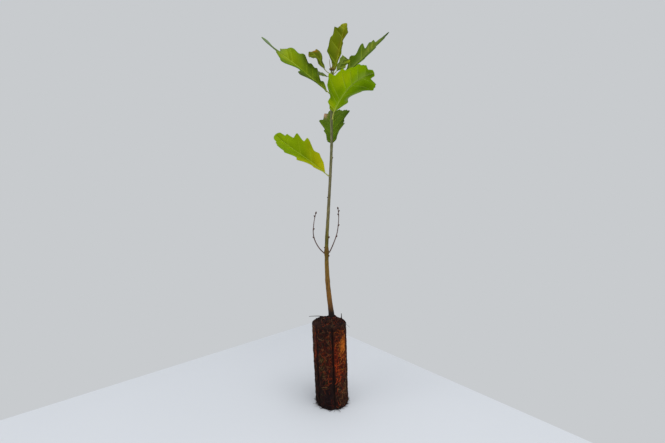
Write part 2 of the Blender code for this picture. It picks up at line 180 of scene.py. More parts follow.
LEAVES = {
    "leaf_lower": Leaf(
        height=331, stalk=5, length=89,
        rise=(39, 37, 35, 46), turn=(180,), roll=(52, 52, 60, 66), fold=(34, 34, 26, 16),
        left=(((0.05, 14), (0.18, 25), (0.46, 19.5), (0.67, 14.5), (0.83, 9)), (11, 18, 15.5, 12.5)),
        right=(
            ((0.03, 11), (0.1, 16.5), (0.28, 25), (0.49, 21.2), (0.73, 12.5), (0.9, 7)),
            (13, 15.5, 18, 13, 8),
        ),
        upper="6f8a02", under="93a646",
        tints=(
            (0.0, 0.0, 0.3, 1.6, "b4ae0a", 0.9), (0.8, 0.3, 0.3, 0.8, "86a008", 0.6),
            (0.45, -0.6, 0.25, 0.6, "5c7a04", 0.6),
        ),
    ),
    "leaf_back": Leaf(
        height=373, stalk=3.5, length=63,
        rise=(62, 60, 58, 50), turn=(86, 80), roll=(0,), fold=(22,), ear=(84, 0.05),
        left=(((0.012, 7), (0.04, 8), (0.13, 13), (0.25, 21), (0.58, 15), (0.9, 8)), (7, 9, 12, 15, 9)),
        right=(
            ((0.05, 7.5), (0.21, 19.5), (0.29, 18.5), (0.39, 26.5), (0.62, 18), (0.85, 10)),
            (10.5, 17, 18, 22, 13),
        ),
        upper="4c6414", under="526c14",
        tints=(
            (0.58, -0.95, 0.09, 0.22, "b98a78", 0.85), (0.36, 0.9, 0.1, 0.3, "2c4014", 0.85),
            (0.15, 0.0, 0.3, 0.5, "4d7210", 0.6),
        ),
    ),
    "leaf_front": Leaf(
        height=409, stalk=9, length=80,
        rise=(44, 38, 32, 15, -1), turn=(-61, -52, -43, -38, -32), roll=(15, 15, 18, 28, 34),
        fold=(32, 30, 26, 15, 10), fold_left=(30, 24, 18, 8, 6), stalk_rise=84, stalk_turn=-60,
        sweep=62, ear=(88, 0.03), pale=1.0,
        left=(((0.1, 16.5), (0.34, 24), (0.55, 26.5), (0.77, 19), (0.94, 5)), (12.5, 26, 23, 7)),
        right=(
            (
                (0.012, 9), (0.035, 13.5), (0.16, 25), (0.24, 31), (0.44, 23),
                (0.57, 17.5), (0.7, 17), (0.84, 12), (0.97, 4.5),
            ),
            (8, 13, 27, 23.5, 18, 16, 14, 5.5),
        ),
        # Partly painted light: the underside's bright yellow-green holds the light that shines through the
        # blade as well as its own colour.
        upper="5c8006", under="83a800",
        tints=(
            (0.2, 0.6, 0.14, 0.5, "86a00c", 0.5), (0.45, 0.6, 0.2, 0.4, "a8bc0a", 0.9),
            (0.5, -0.7, 0.3, 0.4, "4a6c04", 0.7), (0.14, 0.75, 0.07, 0.4, "547804", 0.8),
            (0.3, 0.2, 0.12, 0.25, "547604", 0.6),
            (0.92, 0.0, 0.1, 1.0, "3e5c08", 0.8), (0.04, 0.4, 0.06, 0.7, "98aa0e", 0.85),
            # Painted sheen: the two pale tints on the next line, by the midrib near the tip and along the left
            # margin, stand for light glancing off the blade.
            (0.78, 0.1, 0.14, 0.25, "86a03c", 0.6), (0.25, -0.9, 0.1, 0.2, "92a45c", 0.8),
        ),
    ),
    "leaf_left": Leaf(
        height=444.5, stalk=4, length=116,
        rise=(39, 40, 39, 36, 37, 50), turn=(180,), roll=(42, 42, 48, 56, 18, 22),
        fold=(27, 27, 22, 18, 10, 5), fold_left=(27, 18, 14, 16, 10, 5),
        left=(((0.08, 4), (0.19, 17.5), (0.24, 15.5), (0.47, 16.8), (0.6, 13), (0.84, 4)), (4, 17, 6, 14, 4)),
        right=(
            ((0.05, 8), (0.14, 17.5), (0.22, 18), (0.31, 21.5), (0.525, 21), (0.585, 25.5), (0.86, 8)),
            (6, 16, 16, 16.5, 18.5, 4),
        ),
        upper="4b6806", under="6f8248",
        tints=(
            (0.5, 0.35, 0.2, 0.7, "6c7f02", 0.95), (0.62, -0.2, 0.12, 0.9, "7a8a06", 0.9),
            (0.05, 0.0, 0.2, 1.0, "5c6c10", 0.7),
            # Painted shade: the two dark tints on the next line darken the folded margins near the foot, where
            # shade falls.
            (0.3, 0.9, 0.05, 0.35, "34400a", 0.8), (0.22, -0.9, 0.08, 0.6, "37450e", 0.95),
            (0.9, 0.0, 0.14, 1.2, "68785a", 0.95),
        ),
    ),
    "leaf_right": Leaf(
        height=452, stalk=8, length=104,
        rise=(47, 45, 44, 45, 48), turn=(8,), roll=(-24, -26, -31, -24, -8), fold=(15, 17, 17, 13, 6),
        fold_left=(20, 22, 22, 18, 8),
        left=(((0.1, 10), (0.245, 20), (0.465, 25), (0.6, 19), (0.67, 18.5), (0.83, 6)), (8, 14, 12, 16, 6)),
        right=(((0.1, 10), (0.24, 20), (0.44, 20), (0.68, 16), (0.84, 5)), (8, 12, 9, 4)),
        upper="445a06", under="5f7a3c",
        tints=(
            (0.62, -0.3, 0.14, 0.3, "66701e", 0.8), (0.4, -0.7, 0.12, 0.4, "405802", 0.8),
            (0.3, 0.0, 0.3, 0.25, "5c6c30", 0.7),
            (0.1, -0.6, 0.12, 0.6, "4a5404", 0.8), (0.8, -0.3, 0.1, 0.6, "5a6a20", 0.8),
            (0.96, 0.0, 0.08, 1.0, "3e5236", 0.8),
        ),
    ),
    "leaf_top": Leaf(
        height=472, stalk=3, length=75,
        rise=(68, 73, 76, 73), turn=(40,), roll=(-25, -28), fold=(25, 20, 15),
        ear=(80, 0.05),
        left=(
            ((0.02, 4), (0.1, 7), (0.175, 17.5), (0.43, 16.5), (0.71, 14), (0.89, 6)),
            (4.5, 12, 16.5, 14, 8),
        ),
        right=(((0.03, 3.5), (0.3, 5), (0.5, 4.5), (0.66, 9), (0.87, 5.2)), (3.5, 4, 3, 7)),
        upper="5a6602", under="5a6602", holes=((0.23, -0.42, 0.7),),
        tints=(
            (0.5, 0.15, 0.4, 0.25, "6a4e08", 0.7), (0.95, 0.0, 0.1, 1.2, "8a8c1e", 0.9),
            (0.15, -0.6, 0.15, 0.6, "46580a", 0.7),
            (0.75, -0.5, 0.12, 0.5, "4a5404", 0.7), (0.04, 0.0, 0.06, 1.0, "6c5c10", 0.7),
            (0.6, 0.9, 0.2, 0.4, "5c5e0c", 0.8),
        ),
    ),
    "leaf_young_left": Leaf(
        height=471, stalk=8.5, length=34,
        rise=(52, 60, 64, 10, -8), turn=(180,), roll=(60,), fold=(12,), stalk_rise=20,
        left=(((0.2, 4.8), (0.5, 8), (0.75, 6.5)), (4.8, 7)),
        right=(((0.15, 3), (0.43, 10), (0.72, 6)), (3.8, 7)),
        upper="4e5808", under="525c0c",
        tints=(
            (0.58, 1.0, 0.1, 0.25, "a8701c", 0.7), (1.0, 0.0, 0.05, 1.0, "8a5a18", 0.7),
            (0.1, 0.0, 0.25, 1.0, "3a430c", 0.8),
        ),
    ),
    "leaf_young_right": Leaf(
        height=470, stalk=6, length=22,
        rise=(52, 58), turn=(-12, -8), roll=(55,), fold=(10,), stalk_rise=25,
        left=(((0.2, 8), (0.5, 9.5), (0.8, 7)), (7, 8.5)),
        right=(((0.2, 4.5), (0.5, 5.5), (0.8, 5)), (4, 5)),
        upper="8d9c40", under="6f8034",
        tints=((0.6, -0.9, 0.4, 0.6, "98a61c", 0.9),),
    ),
    "leaf_bud": Leaf(
        height=467, stalk=4, length=14,
        rise=(0, 10, 12), turn=(192,), roll=(50,), fold=(20,), wave=0.2,
        left=(((0.3, 4), (0.6, 4)), (3,)),
        right=(((0.25, 5), (0.6, 5)), (4,)),
        upper="4c5a34", under="59644a",
    ),
}
BLADE_END = 0.35 * MM  # half the width left at both ends of a blade
STALK_THICK = 1.8 * MM
YOUNG_STALK_THICK = 1.1 * MM
YOUNG = 50  # a leaf shorter than this has a thin stalk
OLD_HEIGHT = 460  # a leaf that stands higher than this is one of the new ones
MIDRIB_STEPS = 200
STALK_COLOUR = "bcb46a"
RIB_COLOUR = "b0c83c"
STALK_FADE = 10 * MM  # length over which the stalk's colour turns into the midrib's
MIDRIB_WIDTH = 0.014  # half the width of the midrib's pale line at its foot, as a share of the leaf's length
SIDE_VEIN = 0.2  # how strongly the side veins' paler colour shows
SIDE_VEIN_WIDTH = 0.8 * MM
VEIN_SPAN = (0.03, 0.9)  # part of the midrib that side veins leave
VEIN_ROW = 0.6  # mm between the rows of faces along a side vein
YOUNG_GRID = (48, 20)  # rows and columns of a young blade
STALK_SUNK = 1.0 * MM  # how far a stalk reaches into the stem
STALK_FOOT = 1.15  # how much thicker a stalk is there
MIDRIB_RINGS = 40
MIDRIB_END = 0.97  # place where the midrib's rib stops
MIDRIB_LOW = 0.35  # how far the rib hangs under the blade, as a share of its radius
SIDE_RIB_STEPS = 14
RIB_SIDES = 8

# Stage, in metres and degrees.
FLOOR_CORNER = (-0.040, 0.318, 0)  # the corner behind the plant
FLOOR_SIDE = 3.0
FLOOR_TURN = -138.35  # of one side, from the corner
SOFTBOXES = (  # name, place, size and share of the key light's power
    ("softbox above", (0.25, -0.35, 1.25), 1.0, 1.0),
    ("softbox left", (-0.9, -0.5, 0.6), 0.8, 0.3),
)
LIGHTS_AIM = (0, 0, 0.25)
CAMERA_PLACE = (0.0005, -0.474, 0.299)
CAMERA_DOWN = 4
SENSOR_WIDTH = 36  # mm


# ---------------------------------------------------------------- the rule that the solids are grown by


def at(stations, t):
    """The value at t, from 0 to 1, on a smooth curve through evenly spaced stations."""
    last = len(stations) - 1
    if last == 0:
        return stations[0]
    place = min(max(t, 0), 1) * last
    i = min(int(place), last - 1)
    f = place - i
    a, b = stations[i], stations[i + 1]
    before = stations[i - 1] if i else 2 * a - b
    after = stations[i + 2] if i + 2 <= last else 2 * b - a
    rise, bend, swing = (b - before) / 2, (after - a) / 2, 2 * (a - b)
    return a + f * (rise + f * (-swing * 1.5 - 2 * rise - bend + f * (swing + rise + bend)))


def heading(rise, turn):
    rise, turn = math.radians(rise), math.radians(turn)
    return Vector((math.cos(rise) * math.cos(turn), math.cos(rise) * math.sin(turn), math.sin(rise)))


def route(start, length, rise, turn, steps):
    """Points of a line that leaves start and turns as its stations of rise and turn say."""
    points = [Vector(start)]
    for i in range(steps):
        t = (i + 0.5) / steps
        points.append(points[-1] + heading(at(rise, t), at(turn, t)) * length / steps)
    return points


def stem_centre(height):
    """The stem's axis at a height in metres."""
    t = (height - STEM_FOOT) / (STEM_TIP - STEM_FOOT)
    return Vector((at(STEM_SIDE, t) * MM, at(STEM_DEPTH, t) * MM, height))


def stem_radius(height):
    t = (height - STEM_FOOT) / (STEM_TIP - STEM_FOOT)
    thick = at(STEM_THICK, t) * MM + FLARE * math.exp(-((height - STEM_FOOT) / FLARE_REACH) ** 2)
    knots = [*KNOTS, *((leaf.height - 1, *LEAF_KNOT) for leaf in LEAVES.values())]
    swelling = max(extra * math.exp(-((height / MM - place) / reach) ** 2) for place, extra, reach in knots)
    return (thick + swelling * MM) / 2


def off_stem(height, rise, turn, radius):
    """Where the solid of a round stalk or twig of this radius starts, beside the stem."""
    out = stem_radius(height) + SEAT_GAP + radius * abs(math.sin(math.radians(rise)))
    return stem_centre(height) + heading(0, turn) * out


def reach_of(half, t):
    """How far a leaf's half reaches out at t, in metres: a wedge at its foot, lobes and bays, a round end."""
    lobes, bays = half
    first, last = lobes[0], lobes[-1]
    if t <= first[0]:
        return first[1] * MM * math.sin(math.pi / 2 * t / first[0]) ** 1.3
    if t >= last[0]:
        return last[1] * MM * math.sqrt(max(1 - ((t - last[0]) / (1 - last[0])) ** 2, 0))
    for (place, reach), (next_place, next_reach), bay in zip(lobes, lobes[1:], bays):
        if t > next_place:
            continue
        middle = (place + next_place) / 2
        lobe = (place, reach) if t < middle else (next_place, next_reach)
        share = 0.5 - 0.5 * math.cos(math.pi * (t - middle) / (lobe[0] - middle))
        return (bay + (lobe[1] - bay) * share) * MM


def leaf_frame(leaf, t):
    """The midrib's direction, and those of the blade's right side and upper face, at t."""
    along = heading(at(leaf.rise, t), at(leaf.turn, t))
    level = heading(0, at(leaf.turn, t) - 90)
    over = level.cross(along)
    roll = math.radians(at(leaf.roll, t))
    side = level * math.cos(roll) + over * math.sin(roll)
    return along, side, over * math.cos(roll) - level * math.sin(roll)


def stalk_radius(leaf):
    return (YOUNG_STALK_THICK if leaf.length < YOUNG else STALK_THICK) / 2


def leaf_lines(leaf):
    """The stalk's points, and the midrib's as a function of t."""
    rise = leaf.rise[0] if leaf.stalk_rise is None else leaf.stalk_rise
    turn = leaf.turn[0] if leaf.stalk_turn is None else leaf.stalk_turn
    start = off_stem(leaf.height * MM, rise, turn, stalk_radius(leaf))
    stalk = route(start, leaf.stalk * MM, (rise, leaf.rise[0]), (turn, leaf.turn[0]), 8)
    points = route(stalk[-1], leaf.length * MM, leaf.rise, leaf.turn, MIDRIB_STEPS)

    def midrib(t):
        i = min(int(t * MIDRIB_STEPS), MIDRIB_STEPS - 1)
        return points[i].lerp(points[i + 1], t * MIDRIB_STEPS - i)

    return stalk, midrib


def blade_point(leaf, midrib, t, across, lift=0.0):
    """A point of the blade: t along the midrib, across from -1 (left edge) to 1 (right), lift off it."""
    half = leaf.left if across < 0 else leaf.right
    out = abs(across) * max(reach_of(half, t), BLADE_END)
    sweep = leaf.sweep * (1 - 0.4 * t**2)
    if leaf.ear:
        sweep += (leaf.ear[0] - sweep) * math.exp(-((t / leaf.ear[1]) ** 2))
    sweep = math.radians(sweep)
    length = leaf.length * MM
    place = t * length + out / math.tan(sweep) * (1 - t**4)
    s = min(place / length, 1)
    past = max(place - length, 0)
    along, side, face = leaf_frame(leaf, s)
    fold = math.radians(at(leaf.fold_left if across < 0 and leaf.fold_left else leaf.fold, s))
    wave = leaf.wave * MM * across**2 * math.sin(2 * math.pi * (2.5 * t + (0.3 if across < 0 else 0)))
    sideways = side * math.copysign(out * math.cos(fold), across)
    return midrib(s) + along * past + sideways + face * (out * math.sin(fold) + wave + lift)


# ---------------------------------------------------------------- small tools


def linear(colour):
    """The linear RGBA of an sRGB hex colour."""
    parts = [int(colour[i : i + 2], 16) / 255 for i in (0, 2, 4)]
    return (*(v / 12.92 if v <= 0.04045 else ((v + 0.055) / 1.055) ** 2.4 for v in parts), 1.0)


def mixed(base, other, share):
    return tuple(a + (b - a) * share for a, b in zip(base, other))


def add_node(tree, kind, inputs=None, stops=None, **settings):
    """Adds a node with its settings. An input is given a value, or the socket that feeds it."""
    node = tree.nodes.new(kind)
    for name, value in settings.items():
        setattr(node, name, value)
    for name, value in (inputs or {}).items():
        if isinstance(value, bpy.types.NodeSocket):
            tree.links.new(value, node.inputs[name])
        else:
            node.inputs[name].default_value = value
    if stops:
        elements = node.color_ramp.elements
        while len(elements) < len(stops):
            elements.new(1.0)
        for element, (place, colour) in zip(elements, stops):
            element.position = place
            element.color = colour
    return node


def new_material(name, roughness, ior, gloss):
    """A material with its node tree, its shader, and the object's own places for its patterns."""
    made = bpy.data.materials.new(name)
    made.use_nodes = True
    shader = made.node_tree.nodes["Principled BSDF"]
    for socket, value in (("Roughness", roughness), ("IOR", ior), ("Specular IOR Level", gloss)):
        shader.inputs[socket].default_value = value
    place = add_node(made.node_tree, "ShaderNodeTexCoord").outputs["Object"]
    return made, made.node_tree, shader, place


def limb_mesh(name, limbs, sides):
    """Closed round limbs, each (path, radii), as one mesh. They have an even number of sides."""
    curve = bpy.data.curves.new(name, "CURVE")
    curve.dimensions = "3D"
    curve.bevel_depth = 1
    curve.bevel_resolution = sides // 2 - 1
    curve.use_fill_caps = True
    for path, radii in limbs:
        spline = curve.splines.new("POLY")
        spline.points.add(len(path) - 1)
        for point, place, radius in zip(spline.points, path, radii):
            point.co = (*place, 1)
            point.radius = radius
    guide = bpy.data.objects.new(name, curve)
    mesh = bpy.data.meshes.new_from_object(guide)
    bpy.data.objects.remove(guide)
    bpy.data.curves.remove(curve)
    closed = bmesh.new()
    closed.from_mesh(mesh)
    bmesh.ops.remove_doubles(closed, verts=closed.verts, dist=1e-7)
    bmesh.ops.recalc_face_normals(closed, faces=closed.faces)
    closed.to_mesh(mesh)
    closed.free()
    return mesh


def finished(name, made):
    """The bmesh as a mesh."""
    mesh = bpy.data.meshes.new(name)
    made.to_mesh(mesh)
    made.free()
    return mesh


def add_piece(name, mesh, materials, slot, *nodes):
    """A piece of the plant: smooth, riding on its one body, standing for the nodes named."""
    for made in materials:
        mesh.materials.append(made)
    mesh.shade_smooth()
    piece = bpy.data.objects.new(name, mesh)
    bpy.context.scene.collection.objects.link(piece)
    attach(piece, "root")
    if nodes:
        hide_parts(*nodes)
    return piece


# ---------------------------------------------------------------- materials


def mottled_material(name, roughness, gloss, spacing, detail, tones):
    """A dry skin, blotched in a few tones, each (share, linear colour), this many metres apart."""
    made, tree, shader, place = new_material(name, roughness, BARK_IOR, gloss)
    blotches = add_node(tree, "ShaderNodeTexNoise", {"Vector": place, "Scale": 1 / spacing, "Detail": detail})
    ramp = add_node(tree, "ShaderNodeValToRGB", {"Fac": blotches.outputs["Fac"]}, stops=tones)
    tree.links.new(ramp.outputs["Color"], shader.inputs["Base Color"])
    return made


def clouded(tree, colour, place, spacing, detail, dark, pale, low=0.0, high=1.0):
    """The colour made darker and paler in clouds this many metres apart, and the clouds themselves."""
    cloud = add_node(tree, "ShaderNodeTexNoise", {"Vector": place, "Scale": 1 / spacing, "Detail": detail})
    shade = add_node(
        tree, "ShaderNodeMapRange",
        {"Value": cloud.outputs["Fac"], "From Min": low, "From Max": high, "To Min": dark, "To Max": pale},
    )
    toned = add_node(
        tree, "ShaderNodeVectorMath", {0: colour, 1: shade.outputs["Result"]}, operation="MULTIPLY"
    )
    return toned.outputs["Vector"], cloud.outputs["Fac"]


def peat_material():
    """Root-bound peat, moist and pressed in its cell: matt, dark, crumbly, with rust and moss in places, and
    painted shade down in its grooves.
    """
    settings = bpy.context.scene.sapling_ball
    made, tree, shader, place = new_material("root-bound peat", 0.92, BARK_IOR, 0.1)
    clods = add_node(
        tree, "ShaderNodeTexNoise", {"Vector": place, "Scale": 1 / (7 * MM), "Detail": 6, "Roughness": 0.65}
    )
    tones = add_node(
        tree, "ShaderNodeValToRGB", {"Fac": clods.outputs["Fac"]},
        stops=((0.32, settings.dark), (0.52, settings.middle), (0.72, settings.light)),
    )
    fibres = add_node(
        tree, "ShaderNodeTexNoise", {"Vector": place, "Scale": 1 / (1.6 * MM), "Detail": 4, "Distortion": 1.2}
    )
    tint = add_node(tree, "ShaderNodeAttribute", attribute_name="tint")
    ragged = add_node(
        tree, "ShaderNodeMapRange",
        {"Value": fibres.outputs["Fac"], "From Min": 0.35, "From Max": 0.6, "To Min": 0.35},
    )
    strength = add_node(
        tree, "ShaderNodeMath", {0: tint.outputs["Alpha"], 1: ragged.outputs["Result"]}, operation="MULTIPLY"
    )
    colour = add_node(
        tree, "ShaderNodeMix",
        {"Factor": strength.outputs[0], "A": tones.outputs["Color"], "B": tint.outputs["Color"]},
        data_type="RGBA",
    )
    tree.links.new(colour.outputs["Result"], shader.inputs["Base Color"])
    crumbs = add_node(
        tree, "ShaderNodeBump", {"Height": fibres.outputs["Fac"], "Strength": 0.7, "Distance": 0.6 * MM}
    )
    tree.links.new(crumbs.outputs["Normal"], shader.inputs["Normal"])
    return made


def root_material(kind, dark, light, roughness):
    """Fine root: a thin pale or rusty strand, darker where its skin has aged."""
    tones = ((0.38, linear(dark)), (0.62, linear(light)))
    return mottled_material(f"fine root, {kind}", roughness, 0.15, 4 * MM, 3, tones)


def bark_material(name, tones_by_height, roughness):
    """Smooth young oak bark, satin: brown at the foot, olive above, with fine upright streaks."""
    made, tree, shader, place = new_material(name, roughness, BARK_IOR, 0.2)
    axes = add_node(tree, "ShaderNodeSeparateXYZ", {0: place})
    height = add_node(
        tree, "ShaderNodeMapRange", {"Value": axes.outputs["Z"], "From Min": STEM_FOOT, "From Max": STEM_TIP}
    )
    ramp = add_node(
        tree, "ShaderNodeValToRGB", {"Fac": height.outputs["Result"]},
        stops=tuple((share, linear(tone)) for share, tone in tones_by_height),
    )
    drawn = add_node(
        tree, "ShaderNodeMapping", {"Vector": place, "Scale": (1, 1, GRAIN_SQUASH)}, vector_type="POINT"
    )
    streaked, grain = clouded(tree, ramp.outputs["Color"], drawn.outputs[0], 0.9 * MM, 5, 0.65, 1.6, 0.35, 0.65)
    toned, _ = clouded(tree, streaked, place, 9 * MM, 3, 0.75, 1.3)
    tree.links.new(toned, shader.inputs["Base Color"])
    streaks = add_node(tree, "ShaderNodeBump", {"Height": grain, "Strength": 0.35, "Distance": 0.15 * MM})
    tree.links.new(streaks.outputs["Normal"], shader.inputs["Normal"])
    return made


def lenticel_material():
    """Lenticels: small raised pores, corky, dry and paler than the bark."""
    tones = ((0.35, linear("7c6c44")), (0.65, linear("a09468")))
    return mottled_material("corky lenticel", 0.8, 0.1, 0.3 * MM, 2, tones)


def bud_material(name, tones):
    """Bud scales: thin and papery, satin, brown where dry and greener where the shoot still grows."""
    stops = tuple((share, linear(tone)) for share, tone in zip((0.35, 0.55, 0.75), tones))
    return mottled_material(name, 0.6, 0.2, 0.8 * MM, 3, stops)


def leaf_material(name, roughness, gloss, vein_colour, vein_share):
    """A leaf's skin: its tint, which holds some painted shade and painted sheen, mottled, with paler veins and
    the fine net between them.
    """
    made, tree, shader, place = new_material(name, roughness, LEAF_IOR, gloss)
    tint = add_node(tree, "ShaderNodeAttribute", attribute_name="tint")
    vein = add_node(tree, "ShaderNodeAttribute", attribute_name="vein")
    toned, _ = clouded(tree, tint.outputs["Color"], place, 12 * MM, 4, 0.72, 1.28)
    share = add_node(tree, "ShaderNodeMath", {0: vein.outputs["Fac"], 1: vein_share}, operation="MULTIPLY")
    veined = add_node(
        tree, "ShaderNodeMix", {"Factor": share.outputs[0], "A": toned, "B": linear(vein_colour)},
        data_type="RGBA",
    )
    tree.links.new(veined.outputs["Result"], shader.inputs["Base Color"])
    net = add_node(
        tree, "ShaderNodeTexVoronoi", {"Vector": place, "Scale": 1 / (2.2 * MM)}, feature="DISTANCE_TO_EDGE"
    )
    puckers = add_node(
        tree, "ShaderNodeBump", {"Height": net.outputs["Distance"], "Strength": 0.3, "Distance": 0.2 * MM}
    )
    tree.links.new(puckers.outputs["Normal"], shader.inputs["Normal"])
    return made


def rib_material():
    """Leaf stalk and ribs: smooth and fleshy, a paler green than their leaf."""
    made, tree, shader, place = new_material("oak leaf rib", 0.5, LEAF_IOR, 0.05)
    tint = add_node(tree, "ShaderNodeAttribute", attribute_name="tint")
    toned, _ = clouded(tree, tint.outputs["Color"], place, 10 * MM, 2, 0.8, 1.2)
    tree.links.new(toned, shader.inputs["Base Color"])
    return made


def floor_material():
    """Painted board: pale, matt and even."""
    tone = bpy.context.scene.sapling_stage.floor_colour
    tones = ((0.3, (*(v * 0.97 for v in tone[:3]), 1.0)), (0.7, tone))
    return mottled_material("pale painted board", 0.7, 0.3, 0.5, 2, tones)


# ---------------------------------------------------------------- settings


class SaplingBall(bpy.types.PropertyGroup):
    clods: bpy.props.FloatProperty(
        name="Clods", description="How far the peat's clods stand out", default=0.55 * MM, unit="LENGTH"
    )
    fibres: bpy.props.FloatProperty(
        name="Fibres", description="How far the peat's fibres stand out", default=0.3 * MM, unit="LENGTH"
    )
    roots: bpy.props.IntProperty(name="Roots", description="Fine roots that crawl over the ball", default=3400)
    top_roots: bpy.props.IntProperty(name="Top roots", description="Fine roots on the ball's top", default=260)
    fringe: bpy.props.IntProperty(
        name="Fringe", description="Short roots that hang at the ball's foot", default=150
    )
    dark: bpy.props.FloatVectorProperty(
        name="Dark peat", description="Colour in the hollows", subtype="COLOR", size=4, default=linear("120b0a")
    )
    middle: bpy.props.FloatVectorProperty(
        name="Peat", description="Colour of most of the peat", subtype="COLOR", size=4, default=linear("241511")
    )
    light: bpy.props.FloatVectorProperty(
        name="Dry peat", description="Colour where the peat has dried", subtype="COLOR", size=4,
        default=linear("3c2419"),
    )


class SaplingStem(bpy.types.PropertyGroup):
    relief: bpy.props.FloatProperty(
        name="Bark relief", description="Depth of the bark's long wrinkles", default=0.12 * MM, unit="LENGTH"
    )
    lenticels: bpy.props.IntProperty(name="Lenticels", description="Breathing pores on the stem", default=150)


class SaplingTwigs(bpy.types.PropertyGroup):
    relief: bpy.props.FloatProperty(
        name="Twig relief", description="Depth of the twigs' wrinkles", default=0.06 * MM, unit="LENGTH"
    )
    scale_edge: bpy.props.FloatProperty(
        name="Scale edge", description="How far a bud's scales stand out, as a share of its radius",
        default=0.14,
    )


class SaplingLeaves(bpy.types.PropertyGroup):
    thickness: bpy.props.FloatProperty(
        name="Thickness", description="Thickness of a blade", default=0.3 * MM, unit="LENGTH"
    )
    quilt: bpy.props.FloatProperty(
        name="Quilting", description="How far the blade swells up between its veins",
        default=1.0 * MM, unit="LENGTH",
    )
    groove: bpy.props.FloatProperty(
        name="Vein groove", description="How far a vein is sunk", default=0.15 * MM, unit="LENGTH"
    )
    rows: bpy.props.IntProperty(name="Rows", description="Rows along a large blade", default=110)
    columns: bpy.props.IntProperty(name="Columns", description="Columns across a large blade", default=44)


class SaplingStage(bpy.types.PropertyGroup):
    floor_colour: bpy.props.FloatVectorProperty(
        name="Floor", description="Colour of the floor", subtype="COLOR", size=4, default=linear("d1d4d9")
    )
    air_colour: bpy.props.FloatVectorProperty(
        name="Surroundings", description="Colour behind and around the plant", subtype="COLOR", size=4,
        default=linear("c8cbce"),
    )
    air: bpy.props.FloatProperty(name="Fill", description="Strength of the light from all around", default=1.0)
    key: bpy.props.FloatProperty(
        name="Key", description="Power of the softbox above", default=9.0, unit="POWER"
    )
    lens: bpy.props.FloatProperty(name="Lens", description="Focal length in mm", default=18.03)


# ---------------------------------------------------------------- root ball

BALL_SIDES = 300
SIDE_RINGS = 170
TOP_RINGS = 14
MOUND_RINGS = 10
CLOSING_RINGS = 3
CLOD_NOISE = (0.8, 2.0, 4)  # fall-off, step in scale and layers
SIDE_CLOD = 6 * MM  # spacing of the clods
SIDE_FIBRE = 2.0 * MM  # spacing of the fibres
TOP_CLOD = 4 * MM
# Painted shade: the peat is darkened towards this colour down in the cell's grooves, where shade falls.
GROOVE_SHADE = "0d0808"  # the colour down in a groove
FAINT = 0.01  # a patch weaker than this doesn't show

# Fine roots by the look of their skin: colour where old, colour where young, roughness.
ROOT_KINDS = {
    "orange": ("a44a0c", "e08a34", 0.7),
    "red": ("82260a", "cc4e1a", 0.7),
    "rust": ("641f07", "a24114", 0.7),
    "russet": ("36110a", "6e240e", 0.8),
    "tan": ("472f1c", "83603c", 0.75),
    "straw": ("2c2015", "46341f", 0.8),
    "olive": ("2c2612", "565024", 0.8),
    "dark": ("120a0c", "2e1d1c", 0.85),
}

# Patches of the ball's side: turn, height in mm, how wide in degrees, how tall in mm, the peat's colour there
# and its strength, and how many of the roots there are of each kind.
Patch = namedtuple("Patch", "turn height wide tall colour strength kinds")
PATCHES = tuple(Patch(*patch) for patch in (
    (-40, 90, 12, 13, "e67a1a", 1.0, {"orange": 9, "rust": 2}),
    (-34, 70, 9, 10, "8a3c12", 0.8, {"orange": 2, "rust": 5, "russet": 2}),
    (-46, 111, 14, 8, "43200f", 0.9, {"rust": 3, "russet": 4, "dark": 3}),
    (-62, 110, 14, 11, "26130c", 0.9, {"russet": 4, "dark": 5, "rust": 1, "tan": 1}),
    (-70, 76, 8, 28, "6a1d08", 0.9, {"red": 8, "rust": 3, "orange": 1, "russet": 1, "dark": 3}),
    (-46, 60, 12, 15, "260f09", 0.9, {"russet": 3, "rust": 4, "red": 3, "dark": 6, "tan": 1}),
    (-46, 22, 20, 18, "43261a", 0.8, {"tan": 6, "rust": 1, "russet": 2, "dark": 3}),
    (-106, 98, 20, 14, "2a1612", 0.8, {"russet": 4, "tan": 3, "dark": 5, "rust": 1}),
    (-98, 66, 16, 24, "34120d", 0.8, {"russet": 5, "rust": 3, "tan": 2, "dark": 3}),
    (-120, 58, 11, 22, "281c0f", 0.8, {"olive": 3, "tan": 2, "russet": 3, "dark": 4}),
    (-102, 16, 28, 20, "170f13", 0.9, {"dark": 12, "russet": 2}),
    # Partly painted shade: this near-black peat on the ball's left side stands for the shadow there; its dark
    # roots are real.
    (-160, 38, 14, 44, "130c0d", 0.9, {"dark": 6, "russet": 1, "tan": 1}),
    (-158, 100, 12, 17, "5a4542", 0.9, {"dark": 2, "russet": 2, "tan": 4}),
    (-147, 94, 4, 18, "6e2416", 1.0, {"russet": 3, "rust": 4, "dark": 1}),
    (160, 78, 30, 34, "33190f", 0.8, {"tan": 3, "russet": 3, "rust": 1, "dark": 4}),
    (168, 24, 34, 26, "1c110f", 0.8, {"dark": 6, "olive": 2, "tan": 1}),
    (100, 92, 28, 24, "4c220f", 0.8, {"rust": 4, "russet": 3, "orange": 1, "dark": 2}),
    (92, 44, 28, 34, "26180f", 0.8, {"olive": 3, "tan": 3, "dark": 4}),
    (30, 76, 30, 30, "5e2a10", 0.85, {"rust": 5, "orange": 2, "russet": 2, "tan": 1}),
    (24, 26, 30, 26, "2c1a16", 0.8, {"tan": 3, "russet": 2, "dark": 4}),
    (-8, 60, 12, 60, "331810", 0.8, {"russet": 3, "tan": 3, "dark": 3}),
))

